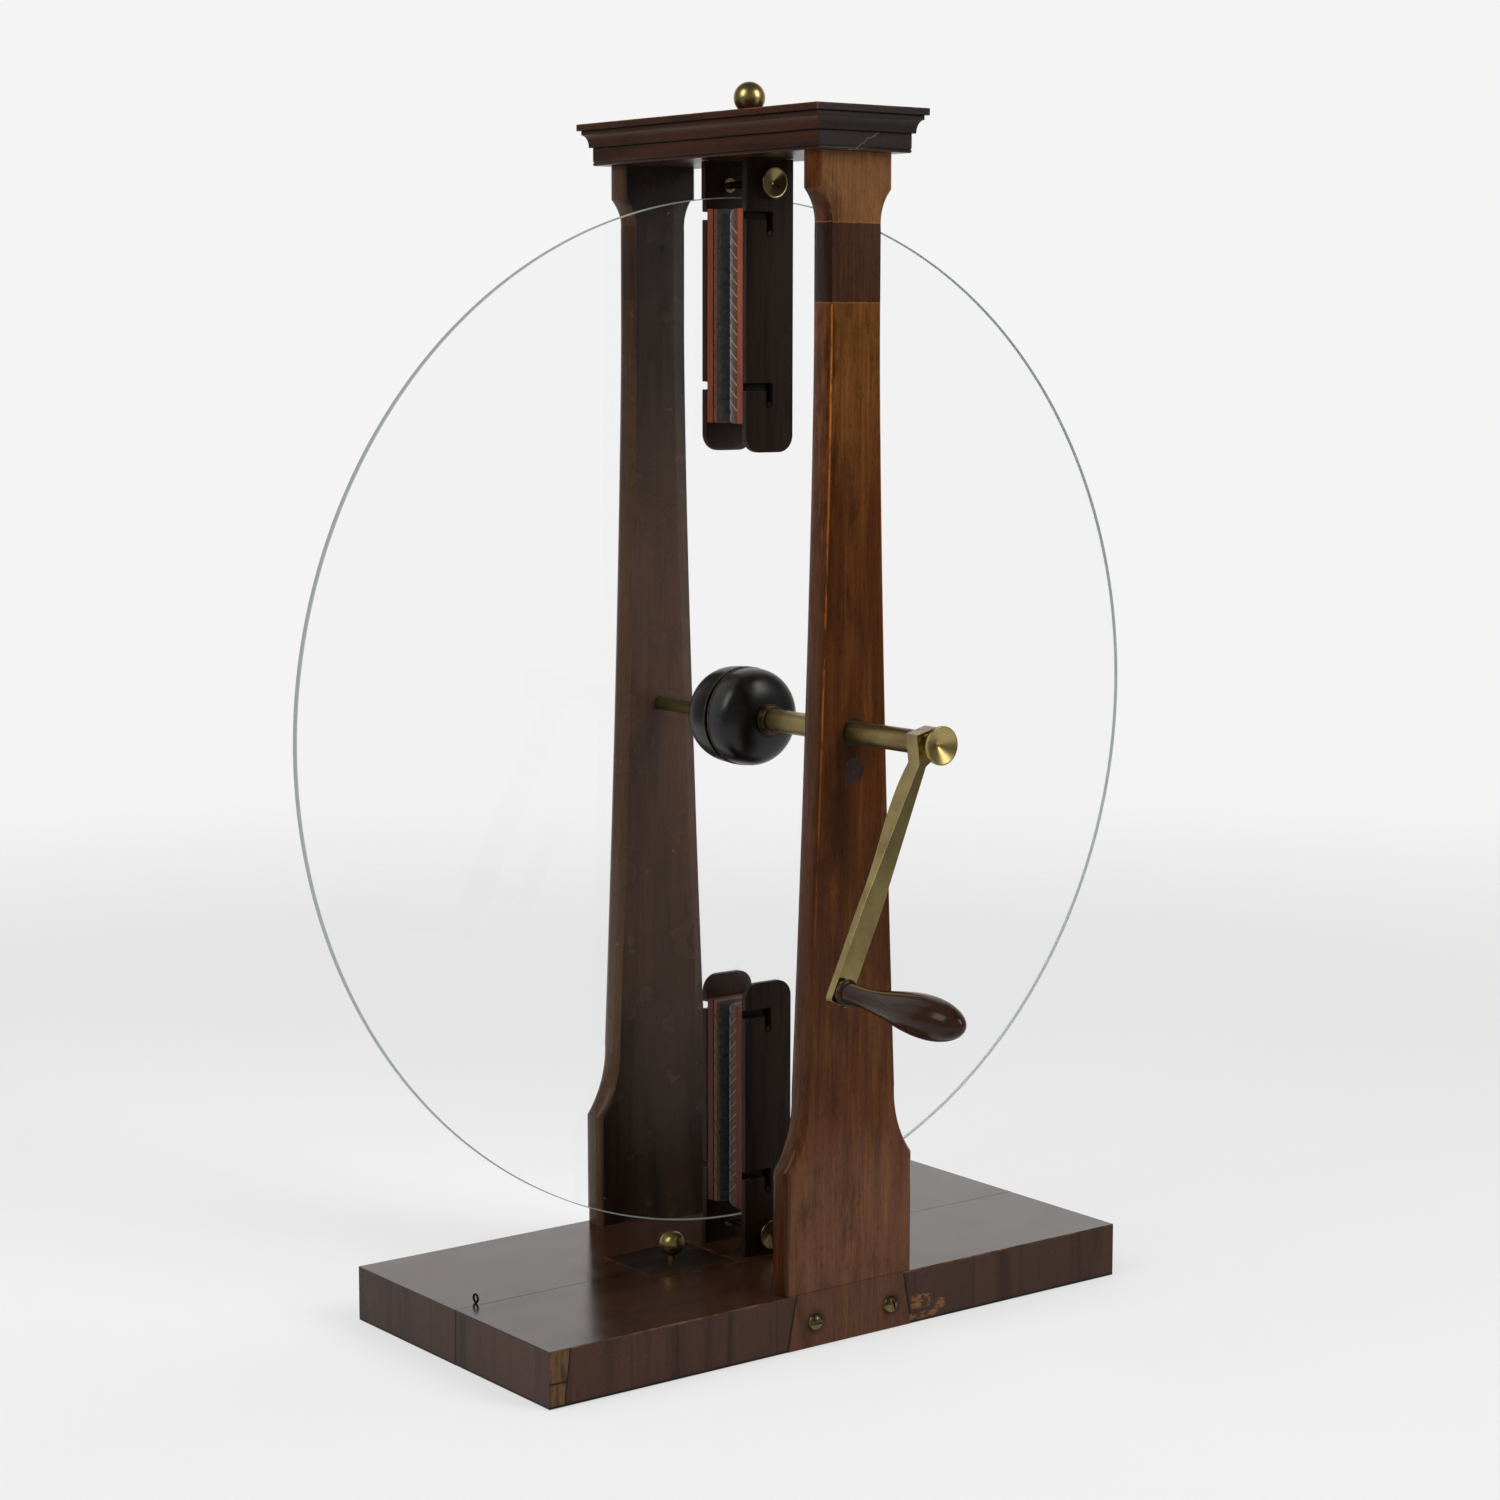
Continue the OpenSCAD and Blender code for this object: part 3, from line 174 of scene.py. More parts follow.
class RubberSettings(bpy.types.PropertyGroup):
    """Sizes and colours of the rubbers and their boards."""

    stitches: IntProperty(description="Stitches along a rubber", default=17, min=8)
    thread: length("Thickness of the sewing thread", 0.42)
    stuffing: length("How far the stuffing may push a cushion's cover out", 0.4)
    red_wood: colour("Stained backing of the rubbers", "#94492f")
    red_deep: colour("Darkest wood of the backing", "#7a3a26")
    leather: colour("Brown leather layer", "#5c3b2d")
    felt: colour("Grey cushion of the front rubbers", "#767571")
    felt_dark: colour("Blackened cushion of the rear rubbers", "#3a3836")
    thread_pale: colour("Linen thread of the front rubbers", "#bdb6aa")
    thread_dark: colour("Soiled thread of the rear rubbers", "#352a23")
    # Dirt on the rear backings, and also the painted shade that darkens the lower ones
    soil_and_shade: colour("Dirt that darkens the lower and the rear backings", "#2b1c16")
    board: colour("Blackened wood of the clamp boards", "#281b15")
    board_deep: colour("Darkest wood of the clamp boards", "#1b120e")


class MetalSettings(bpy.types.PropertyGroup):
    """Colours of the brass and the steel."""

    brass: colour("Rubbed brass", "#ac9a66")
    brass_dull: colour("Brass browned by age", "#97854f")
    crank_brass: colour("Brass of the axle and the crank", "#8f8055")
    crank_dull: colour("Brass of the axle and the crank, browned", "#766744")
    tarnish: colour("Dirt on the screws", "#2e261a")
    bronze: colour("Browned bronze of the collar", "#5c4b34")
    iron: colour("Blackened iron of the studs and the eye", "#2b2724")
    steel: colour("Worn steel", "#8d8f92")


class StageSettings(bpy.types.PropertyGroup):
    """Colours and levels of the studio."""

    backdrop: colour("White sweep behind the machine", "#f4f4f4")
    floor: colour("Pale floor", "#fafafa")
    wash: FloatProperty(
        description="Share of the floor's white that its shadows leave", default=0.6, min=0, max=1,
    )
    sky: FloatProperty(description="Level of the light from all sides", default=0.4, min=0)
    left_lamp: FloatProperty(description="Watts of the left soft box", default=18)
    right_lamp: FloatProperty(description="Watts of the right soft box", default=20)


def feed(tree, node, inputs):
    """Sets or links a node's inputs."""
    for key, value in inputs.items():
        if isinstance(value, bpy.types.NodeSocket):
            tree.links.new(value, node.inputs[key])
        else:
            node.inputs[key].default_value = value


def add(tree, kind, inputs=None, size=None, stops=(), **settings):
    """Adds a node with its settings, and sets or links its inputs.

    A size in millimetres scales the pattern of a texture, and stops are a ramp's places and colours."""
    node = tree.nodes.new(kind)
    links = dict(inputs or {})
    for key, value in settings.items():
        setattr(node, key, value)
    if size is not None:
        scale = [1 / (part * MM) for part in size]
        mapping = add(tree, "ShaderNodeMapping", {"Vector": links["Vector"], "Scale": scale})
        links.update({"Vector": mapping.outputs[0], "Scale": 1.0})
    feed(tree, node, links)
    for i, (mark_at, shade) in enumerate(stops):
        marks = node.color_ramp.elements
        mark = marks[i] if i < 2 else marks.new(mark_at)
        mark.position = mark_at
        mark.color = (*shade, 1)
    return node


def noise(tree, place, size, **inputs):
    """A noise whose grains have the given sizes in millimetres."""
    return add(tree, "ShaderNodeTexNoise", {"Vector": place, **inputs}, size=size).outputs[0]


def remap(tree, value, start, end, low=0.0, high=1.0, **settings):
    """Goes from low to high while a value goes from start to end."""
    span = {"From Min": start, "From Max": end, "To Min": low, "To Max": high}
    return add(tree, "ShaderNodeMapRange", {"Value": value, **span}, **settings).outputs[0]


def maths(tree, operation, *values):
    """A number worked out from numbers or sockets."""
    return add(tree, "ShaderNodeMath", dict(enumerate(values)), operation=operation).outputs[0]


def vector(tree, operation, *values):
    """The results, Vector and Value, of an operation on vectors or sockets."""
    return add(tree, "ShaderNodeVectorMath", dict(enumerate(values)), operation=operation).outputs


def split(tree, place):
    """The X, Y and Z of a vector."""
    return add(tree, "ShaderNodeSeparateXYZ", {0: place}).outputs


def mix(tree, share, under, over, blend="MIX"):
    """Blends a share of one colour over another."""
    inputs = {0: share, 6: under, 7: over}
    return add(tree, "ShaderNodeMix", inputs, data_type="RGBA", blend_type=blend).outputs[2]


def ramp(tree, value, *stops):
    """A run of colours along a value."""
    return add(tree, "ShaderNodeValToRGB", {"Fac": value}, stops=stops).outputs[0]


def bump(tree, height, strength, depth, **settings):
    """A relief of the given depth in millimetres."""
    inputs = {"Height": height, "Strength": strength, "Distance": depth * MM}
    return add(tree, "ShaderNodeBump", inputs, **settings).outputs[0]


def start_material(name):
    """A material with its shader, and the place and the normal of a point on the machine."""
    material = bpy.data.materials.new(name)
    material.use_nodes = True
    tree = material.node_tree
    tree.nodes.clear()
    shader = add(tree, "ShaderNodeBsdfPrincipled")
    add(tree, "ShaderNodeOutputMaterial", {"Surface": shader.outputs[0]})
    return material, tree, shader, add(tree, "ShaderNodeTexCoord").outputs


def grain(along, width, run):
    """Sizes in millimetres of a pattern that is drawn out along one axis."""
    return [run if axis == along else width for axis in "XYZ"]


def even(value):
    """The same value three times: a grey, or the sizes of an even pattern."""
    return (value, value, value)


def wood(name, tones, along, polish, gloss=0.25, figure=16.0, touch=None, streaks=0.3, pores=0.35):
    """Old polished wood: ribbons of tone, fine streaks and dark pores drawn out along the grain.

    Touch paints stains, wear, painted shade and painted highlights under the streaks."""
    material, tree, shader, coordinates = start_material(name)
    place = coordinates["Object"]
    ribbon = noise(
        tree, place, grain(along, figure, figure * 12), Detail=5.0, Roughness=0.55, Distortion=0.6,
    )
    streak = noise(tree, place, grain(along, 1.6, 45), Detail=4.0, Roughness=0.6)
    # Real pores are 0.1 mm wide, and are drawn wider so that they show
    pore = noise(tree, place, grain(along, 0.6, 5), Detail=2.0)
    tone = ramp(tree, ribbon, *zip((0.36, 0.5, 0.66), tones))
    if touch:
        tone = touch(tree, coordinates, tone)
    fine = ramp(tree, streak, (0.3, even(0.2)), (0.7, even(0.8)))
    tone = mix(tree, streaks, tone, fine, "OVERLAY")
    pit = remap(tree, pore, 0.54, 0.7, 0, pores)
    haze = noise(tree, place, even(30), Detail=4.0)
    feed(tree, shader, {
        "Base Color": mix(tree, pit, tone, (*linear(PORE), 1), "MULTIPLY"),
        "Roughness": remap(tree, haze, 0.3, 0.7, *polish),
        "Normal": bump(tree, pore, 0.12, 0.3, invert=True),
        "Specular IOR Level": gloss,
    })
    return material


def metal(name, bright, dull, gloss, spots):
    """Old hand-rubbed metal: bare where hands and cloths reach, dull and spotted elsewhere."""
    material, tree, shader, coordinates = start_material(name)
    place = coordinates["Object"]
    cloud = noise(tree, place, even(spots), Detail=6.0, Roughness=0.65)
    scratch = noise(tree, place, (0.35, 2, 0.35), Detail=3.0)
    feed(tree, shader, {
        "Base Color": ramp(tree, cloud, (0.36, dull), (0.6, bright)),
        "Metallic": 1.0,
        "Roughness": remap(tree, cloud, 0.35, 0.65, *reversed(gloss)),
        "Normal": bump(tree, scratch, 0.03, 0.1),
    })
    return material


def fibrous(name, tone, share, size, roughness, depth, sheen):
    """Leather, felt or thread: a colour clouded with a darker share of it, a fine relief and some sheen."""
    material, tree, shader, coordinates = start_material(name)
    place = coordinates["Object"]
    cloud = noise(tree, place, even(6 * size), Detail=5.0, Roughness=0.7)
    fibre = noise(tree, place, even(size), Detail=4.0, Roughness=0.6)
    shade = ramp(tree, cloud, (0.34, share * tone), (0.64, tone))
    fleck = ramp(tree, fibre, (0.3, even(0.25)), (0.7, even(0.75)))
    feed(tree, shader, {
        "Base Color": mix(tree, 0.6, shade, fleck, "OVERLAY"),
        "Roughness": roughness,
        "Normal": bump(tree, fibre, 0.5, depth),
        "Specular IOR Level": 0.2,
        "Sheen Weight": sheen,
    })
    return material


def placed(name, data):
    """An object in the scene."""
    thing = bpy.data.objects.new(name, data)
    bpy.context.scene.collection.objects.link(thing)
    return thing


def discard(thing):
    """Takes an object and its mesh out again."""
    mesh = thing.data
    bpy.data.objects.remove(thing)
    bpy.data.meshes.remove(mesh)


def rows_of(items, key):
    """A vector of each vertex or face of a mesh, one row for each."""
    values = np.empty(3 * len(items))
    items.foreach_get(key, values)
    return values.reshape(-1, 3)


def around(count):
    """Angles of even steps round a circle."""
    return np.linspace(0, 2 * np.pi, count, endpoint=False)


def unit(vectors):
    """Vectors of the same ways and of length 1."""
    return vectors / np.linalg.norm(vectors, axis=-1, keepdims=True)


def squarish(values, power):
    """Draws the sines or cosines of a circle out towards those of a square."""
    return np.sign(values) * np.abs(values) ** power


def finish_piece(name, mesh, material, nodes=(), body=None, slot=None, smooth=35.0):
    """Puts a mesh on its body with its material, in the place of the named CAD nodes."""
    mesh.shade_smooth()
    mesh.set_sharp_from_angle(angle=math.radians(smooth))
    mesh.materials.clear()
    mesh.materials.append(material)
    piece = placed(name, mesh)
    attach(piece, body or body_of[nodes[0]])
    if nodes:
        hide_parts(*nodes)
    return piece


def shell_mesh(name, points, faces):
    """A mesh from points in millimetres, welded at its seams and poles and turned outwards."""
    mesh = bpy.data.meshes.new(name)
    mesh.from_pydata((np.asarray(points) * MM).tolist(), [], faces)
    shell = bmesh.new()
    shell.from_mesh(mesh)
    bmesh.ops.remove_doubles(shell, verts=shell.verts, dist=1e-7)
    bmesh.ops.recalc_face_normals(shell, faces=shell.faces)
    shell.to_mesh(mesh)
    shell.free()
    return mesh


def grid_faces(rows, columns, close_rows=False, close_columns=False):
    """Quads of a grid of points counted row by row; a closed side runs round to its start."""
    i = np.arange(rows if close_rows else rows - 1)[:, None]
    j = np.arange(columns if close_columns else columns - 1)[None, :]
    after_i = (i + 1) % rows * columns
    after_j = (j + 1) % columns
    quads = [i * columns + j, i * columns + after_j, after_i + after_j, after_i + j]
    return np.stack(np.broadcast_arrays(*quads), axis=-1).reshape(-1, 4).tolist()


def capped_faces(rows, columns):
    """Quads of a tube of closed rings, and a face on each of its ends."""
    ends = [list(range(columns)), list(range((rows - 1) * columns, rows * columns))]
    return grid_faces(rows, columns, False, True) + ends


def eased(points, radius, steps=4):
    """Rounds the inner corners of a line: each is a parabola between points a radius along its legs."""
    line = np.asarray(points, float)
    corner = line[1:-1]
    back, ahead = line[:-2] - corner, line[2:] - corner
    room = np.minimum(np.linalg.norm(back, axis=1), np.linalg.norm(ahead, axis=1))[:, None]
    reach = np.minimum(radius, 0.45 * room)
    start, end = corner + unit(back) * reach, corner + unit(ahead) * reach
    s = np.linspace(0, 1, steps)[:, None, None]
    bend = (1 - s) ** 2 * start + 2 * s * (1 - s) * corner + s ** 2 * end
    return np.vstack([line[:1], bend.transpose(1, 0, 2).reshape(-1, 2), line[-1:]])


def turned(name, profile, material, nodes, origin=AXLE, axis=(0, 1, 0), ring=False, steps=None, **finish):
    """A turned piece: each (radius r, distance d) of its profile goes round its axis.

    The points are origin + axis d + r (u cos t + v sin t), with u and v square to the axis. A ring's profile
    closes on itself, and any other starts and ends on the axis."""
    profile = np.asarray(profile, float)
    steps = steps or bpy.context.scene.machine_wheel.segments
    axis = np.asarray(axis, float)
    u = unit(np.cross(axis, (0.0, 0.0, 1.0) if abs(axis[2]) < 0.9 else (0.0, 1.0, 0.0)))
    v = np.cross(axis, u)
    t = around(steps)
    spoke = np.cos(t)[:, None] * u + np.sin(t)[:, None] * v
    points = np.asarray(origin) + profile[:, 1, None, None] * axis + profile[:, 0, None, None] * spoke
    faces = grid_faces(len(profile), steps, ring, True)
    return finish_piece(name, shell_mesh(name, points.reshape(-1, 3), faces), material, nodes, **finish)


def eased_copy(name, node, material, width):
    """A copy of a CAD node, welded, with whole flat faces and eased arrises."""
    mesh = frame["nodes"][node].data.copy()
    shell = bmesh.new()
    shell.from_mesh(mesh)
    bmesh.ops.remove_doubles(shell, verts=shell.verts, dist=2e-6)
    flat = math.radians(0.5)
    bmesh.ops.dissolve_limit(shell, angle_limit=flat, verts=shell.verts, edges=shell.edges)
    shell.to_mesh(mesh)
    shell.free()
    if mesh.has_custom_normals:
        mesh.attributes.remove(mesh.attributes["custom_normal"])
    piece = finish_piece(name, mesh, material, (node,))
    bevel = piece.modifiers.new("arris", "BEVEL")
    bevel.width = width
    bevel.segments = 3
    bevel.limit_method = "ANGLE"
    bevel.angle_limit = math.radians(30)
    bevel.harden_normals = False
    return piece


def second_material(mesh, material, chosen):
    """Gives the chosen faces of a mesh another material."""
    mesh.materials.append(material)
    mesh.polygons.foreach_set("material_index", chosen.astype(np.int32))


def dress(node, material):
    """Gives a CAD node that stays in view its material."""
    for place in frame["nodes"][node].material_slots:
        place.material = material


def pillar_edge():
    """Right edge of a pillar above the base, as (x, z): plinth, hollow, shaft, neck, hollow, capital.

    The hollows are arcs, and the shaft's half width is the neck's plus taper (1 - s) ** 1.4."""
    foot_arc, head_arc, taper = 68.0, 30.0, 14.4
    up = np.linspace(0, 1, 25)
    low = PLINTH_TOP + (SHAFT_FOOT - PLINTH_TOP) * up
    s = np.linspace(0, 1, 40)[1:]
    high = NECK_TOP + (CAPITAL_FOOT - NECK_TOP) * up
    low_x = NECK_HALF + taper + foot_arc - np.sqrt(foot_arc ** 2 - (SHAFT_FOOT - low) ** 2)
    high_x = NECK_HALF + head_arc - np.sqrt(np.maximum(head_arc ** 2 - (high - NECK_TOP) ** 2, 0))
    return np.vstack([
        np.column_stack([np.full(6, PLINTH_HALF), np.linspace(BASE_TOP, PLINTH_TOP, 7)[:-1]]),
        np.column_stack([low_x, low]),
        np.column_stack([NECK_HALF + taper * (1 - s) ** 1.4, SHAFT_FOOT + (SHAFT_TOP - SHAFT_FOOT) * s]),
        np.column_stack([np.full(5, NECK_HALF), np.linspace(SHAFT_TOP, NECK_TOP, 7)[1:-1]]),
        np.column_stack([high_x, high]),
        np.column_stack([np.full(3, CAPITAL_HALF), np.linspace(CAPITAL_FOOT, PILLAR_TOP, 4)[1:]]),
    ])


def pillar_shell(middle, plinth_nose, shaft_nose):
    """Points and faces of a pillar: its outline moves in along its mitred normals as it nears each face.

    At depth u from -1 to 1 the outline is P - nose |u| ** 3.2 M, with M the mitre at P. Each flat face
    has columns of points near its arrises, so that wear and a painted highlight can be drawn there."""
    edge = pillar_edge()
    run = unit(np.diff(edge, axis=0))
    normal = np.column_stack([run[:, 1], -run[:, 0]])
    mitre = np.tile([1.0, 0.0], (len(edge), 1))
    both = normal[:-1] + normal[1:]
    mitre[1:-1] = both / (1 + np.sum(normal[:-1] * normal[1:], axis=1))[:, None]
    heights = [PLINTH_TOP, 147.0, 641.5, CAPITAL_FOOT]
    nose = np.interp(edge[:, 1], heights, [plinth_nose, shaft_nose, shaft_nose, plinth_nose])
    u = np.sin(np.pi / 2 * np.linspace(-1, 1, 21))
    inset = nose[:, None] * np.abs(u) ** 3.2
    dovetail = np.array([[46.0, 0.0], [39.6, BASE_TOP]])
    x = np.vstack([dovetail[:, :1] + 0 * u, edge[:, :1] - inset * mitre[:, :1]])
    z = np.vstack([dovetail[:, 1:] + 0 * u, edge[:, 1:] - inset * mitre[:, 1:]])
    flat = np.array([[12.0, 3.0, 0.9]])
    x = np.hstack([x[:, :1] - flat, x, x[:, -1:] - flat[:, ::-1]])
    z = np.hstack([z[:, :1] + 0 * flat, z, z[:, -1:] + 0 * flat])
    y = middle + PILLAR_HALF * np.concatenate([[-1.0] * 3, u, [1.0] * 3]) + 0 * x
    right = np.stack([x, y, z], axis=-1)
    left = np.stack([-x, y, z], axis=-1)[:, ::-1]
    rings = np.concatenate([right, left], axis=1)
    return rings.reshape(-1, 3), capped_faces(*rings.shape[:2])


def mark_arrises(mesh, middle, nose):
    """Stores how near each point of a pillar is to an arris: 1 on it, 0 from 0.9 mm on."""
    x, y, z = rows_of(mesh.vertices, "co").T / MM
    edge = pillar_edge()
    half = np.interp(z, edge[:, 1], edge[:, 0])
    off_face = PILLAR_HALF - np.abs(y - middle)
    off_side = np.maximum(half - nose - np.abs(x), 0)
    near = np.clip(1 - np.maximum(off_face, off_side) / 0.9, 0, 1)
    mesh.attributes.new("arris", "FLOAT", "POINT").data.foreach_set("value", near)


def bored(piece, holes):
    """Cuts round holes along Y, each (x, z, radius, y from, y to), out of a piece."""
    steps = 64
    t = around(steps)
    points, faces = [], []
    for x, z, radius, y0, y1 in holes:
        start = steps * len(points)
        rim = np.stack([x + radius * np.cos(t), 0 * t, z + radius * np.sin(t)], axis=-1)
        points += [rim + (0, y0, 0), rim + (0, y1, 0)]
        faces += [[start + corner for corner in face] for face in capped_faces(2, steps)]
    cutter = placed("drill", shell_mesh("drill", np.vstack(points), faces))
    cut = piece.modifiers.new("bore", "BOOLEAN")
    cut.operation = "DIFFERENCE"
    cut.solver = "EXACT"
    cut.object = cutter
    seen = piece.evaluated_get(bpy.context.evaluated_depsgraph_get())
    mesh = bpy.data.meshes.new_from_object(seen)
    piece.modifiers.remove(cut)
    piece.data = mesh
    mesh.set_sharp_from_angle(angle=math.radians(35))
    discard(cutter)


def boss_profile(run, nose):
    """Radius and distance along a boss, whose radius is 29.2 mm times (1 - s ** 3) ** (1 / 3)."""
    radius = 29.2
    reach = run / (1 - (nose / radius) ** 3) ** (1 / 3)
    d = run * np.sin(np.linspace(0, np.pi / 2, 40))
    return np.column_stack([radius * (1 - (d / reach) ** 3) ** (1 / 3), d])


def dished_head(seat, rim, diameter, neck, neck_run, rim_height, dish):
    """Profile of a dished head from its seat to its dimple, with eased edges."""
    radius, lip, dimple, dimple_depth = diameter / 2, 0.8, 1.7, 0.5
    return eased([
        (0, seat), (neck / 2, seat), (neck / 2, seat - neck_run), (radius, rim + rim_height), (radius, rim),
        (radius - lip, rim), (dimple, rim + dish), (0, rim + dish + dimple_depth),
    ], 0.35)


def ball_profile(diameter, foot, show):
    """A ball of the given diameter on a short stem that leaves a face at the foot."""
    radius, stem, depth = diameter / 2, 2.5, 9
    a = np.linspace(np.pi - math.asin(stem / radius), 0, 48)
    ball = np.column_stack([radius * np.sin(a), foot + show + radius + radius * np.cos(a)])
    return np.vstack([[[0, foot - depth], [stem, foot - depth], [stem, foot]], ball])


def handle_profile():
    """Radius and distance along the handle: a half-round bead, a neck, a belly and a round end."""
    bead, root, neck, belly = 1.8, 5.9, 5.7, 12.0
    bead_run, neck_run, belly_run, end_run = 2 * bead, 13.0, 69.0, 28.5
    a = np.linspace(0, np.pi, 16)
    fall = np.linspace(0, 1, 16)[1:]
    rise = np.linspace(0, 1, 40)[1:]
    end = np.linspace(0, np.pi / 2, 40)[1:]
    fall_radius = neck + (root - neck) * (1 + np.cos(np.pi * fall)) / 2
    rise_radius = neck + (belly - neck) * (1 - np.cos(np.pi * rise)) / 2
    return np.vstack([
        np.column_stack([root + bead * np.sin(a), bead * (1 - np.cos(a))]),
        np.column_stack([fall_radius, bead_run + (neck_run - bead_run) * fall]),
        np.column_stack([rise_radius, neck_run + (belly_run - neck_run) * rise]),
        np.column_stack([belly * np.cos(end), belly_run + end_run * np.sin(end)]),
    ])


def at_rubber(level, side):
    """Where a rubber lies: its lowest z, its back plane, the way to the plate, its cushion's thickness."""
    leather_low, leather_high = (np.array(corner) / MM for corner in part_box(f"{level}_{side}_leather"))
    pad_low, pad_high = (np.array(corner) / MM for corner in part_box(f"{level}_{side}_cushion"))
    way = 1.0 if side == "front" else -1.0
    back = leather_low[1] if side == "front" else leather_high[1]
    return leather_low[2], back, way, pad_high[1] - pad_low[1]


def swell(z, depth, total, slant, pitch):
    """How full a rubber is between slanting stitches: 0 at a thread, 1 midway, as |sin| of the phase."""
    return np.abs(np.sin(np.pi * (z - slant * pitch * depth / total) / pitch)) ** 0.6


def ring_heights(run, round_end, count):
    """Heights of a slab's rings, close together at its rounded ends, and how far each ring draws in."""
    t = np.linspace(0, np.pi / 2, 6)
    ends = round_end * (1 - np.cos(t))
    z = np.concatenate([ends, np.linspace(round_end, run - round_end, count)[1:-1], (run - ends)[::-1]])
    near = np.maximum(round_end - np.minimum(z, run - z), 0)
    return z, round_end - np.sqrt(round_end ** 2 - near ** 2)


def leather_shell(level, side, slant, pitch):
    """A leather layer: rounded rectangles up its length, drawn in a little where a thread crosses."""
    z0, back, way, pad = at_rubber(level, side)
    z, inset = ring_heights(RUBBER_RUN, 0.7, 300)
    a = around(44)[None, :]
    depth = LEATHER / 2 * (1 + squarish(np.sin(a), 0.25))
    full = swell(z[:, None], depth, LEATHER + pad, slant, pitch)
    half = LEATHER_HALF - inset[:, None] - 0.25 * (1 - full)
    x = half * squarish(np.cos(a), 0.25)
    points = np.stack([x, back + way * depth + 0 * x, z0 + z[:, None] + 0 * x], axis=-1)
    return points.reshape(-1, 3), capped_faces(*x.shape)


def cushion_shell(level, side, slant, pitch):
    """An unstuffed cushion: boxy walls up to a shoulder, and a crown (1 - (x / half) ** 2) on top of it.

    The shoulder falls by 1.7 mm and the walls draw in by 0.5 mm along each slanting thread. Also gives the
    points that stay put when it is stuffed: the rim on the leather and the valleys under the threads."""
    z0, back, way, pad = at_rubber(level, side)
    z, inset = ring_heights(RUBBER_RUN, 1.8, 220)
    a = np.linspace(0, np.pi, 45)[None, :]
    flat = np.abs(np.sin(a)) ** 0.3
    full = swell(z[:, None], LEATHER + STITCHED * pad * flat, LEATHER + STITCHED * pad, slant, pitch)
    half = CUSHION_HALF - inset[:, None] - 0.5 * (1 - full)
    shoulder = 0.72 * pad - 1.7 * (1 - full) - 0.5 * inset[:, None]
    across = squarish(np.cos(a), 0.42)
    depth = shoulder * flat + (pad - 0.6 - inset[:, None] - shoulder) * (1 - across ** 2)
    points = np.stack([half * across, back + way * (LEATHER + depth), z0 + z[:, None] + 0 * depth], axis=-1)
    held = (depth < 0.4) | ((full < 0.35) & (np.abs(across) > 0.75))
    return points.reshape(-1, 3), capped_faces(*depth.shape), np.flatnonzero(held)


def stuffed(mesh, held, most):
    """Swells a shell as cloth under pressure, with some points held and none moved by more than a limit.

    The cloth is worked out at forty times its size, where thin pads behave like seat cushions."""
    enlarged, steps = 40, 20
    scene = bpy.context.scene
    start = rows_of(mesh.vertices, "co")
    bag = placed("bag", mesh.copy())
    bag.data.vertices.foreach_set("co", (start * enlarged).ravel())
    bag.vertex_groups.new(name="held").add(held.tolist(), 1.0, "REPLACE")
    cloth = bag.modifiers.new("stuffing", "CLOTH")
    cloth.settings.vertex_group_mass = "held"
    cloth.settings.use_pressure = True
    cloth.settings.uniform_pressure_force = 4.0
    cloth.settings.effector_weights.gravity = 0.0
    cloth.point_cache.frame_start = 1
    cloth.point_cache.frame_end = steps
    for step in range(1, steps + 1):
        scene.frame_set(step)
    full = bag.evaluated_get(bpy.context.evaluated_depsgraph_get()).data
    move = rows_of(full.vertices, "co") / enlarged - start
    reach = np.linalg.norm(move, axis=1, keepdims=True)
    move *= np.minimum(1, most / np.maximum(reach, 1e-9))
    mesh.vertices.foreach_set("co", (start + move).ravel())
    mesh.update()
    scene.frame_set(1)
    discard(bag)


def thread_shell(level, side, slant, pitch, thickness):
    """Whip stitches on both edges of a rubber: tubes that slant across the leather and over the shoulder.

    Each tube is the path P plus r (N cos t + B sin t), with N off the rubber and r nothing at its ends."""
    z0, back, way, pad = at_rubber(level, side)
    total = LEATHER + STITCHED * pad
    bend = np.linspace(0, np.pi / 2, 10)
    path = np.vstack([
        np.column_stack([np.full(10, CUSHION_HALF + 0.15), np.linspace(-0.3, total - 2.4, 10)]),
        np.column_stack([CUSHION_HALF - 1.4 * (1 - np.cos(bend)), total - 2.2 + 1.2 * np.sin(bend)]),
        [[11.0, total - 0.2]],
    ])
    count = int(round(RUBBER_RUN / pitch))
    starts = pitch * (np.arange(count) + (0 if slant > 0 else 1))
    z = starts[:, None] + slant * pitch * np.clip(path[:, 1], 0, total)[None, :] / total
    keep = (z.min(axis=1) > 0.8) & (z.max(axis=1) < RUBBER_RUN - 0.6)
    z = z[keep]
    line = np.stack([path[:, 0] + 0 * z, path[:, 1] + 0 * z, z], axis=-1)
    run = unit(np.gradient(line, axis=1))
    flat = np.gradient(path, axis=0)
    off = unit(np.column_stack([flat[:, 1], -flat[:, 0]]))
    normal = np.stack([off[:, 0] + 0 * z, off[:, 1] + 0 * z, 0 * z], axis=-1)
    across = unit(np.cross(run, normal))
    radius = np.full(len(path), thickness / 2)
    radius[[0, -1]] = 0
    t = around(6)
    tube = (
        (line + 0.15 * thickness * normal)[:, :, None]
        + radius[None, :, None, None]
        * (np.cos(t)[:, None] * normal[:, :, None] + np.sin(t)[:, None] * across[:, :, None])
    )
    tubes = np.concatenate([tube, tube * (-1, 1, 1)])
    points = tubes.reshape(-1, 3) * (1, way, 1) + (0, back, z0)
    one = np.array(grid_faces(len(path), 6, False, True))
    steps = np.arange(len(tubes))[:, None, None] * len(path) * 6
    return points, (one[None] + steps).reshape(-1, 4).tolist()


def side_mask(tree, coordinates, axis, low, high):
    """1 on faces whose normal along an axis, either way, is past high, 0 before low."""
    turn = maths(tree, "ABSOLUTE", split(tree, coordinates["Normal"])[axis])
    return remap(tree, turn, low, high)


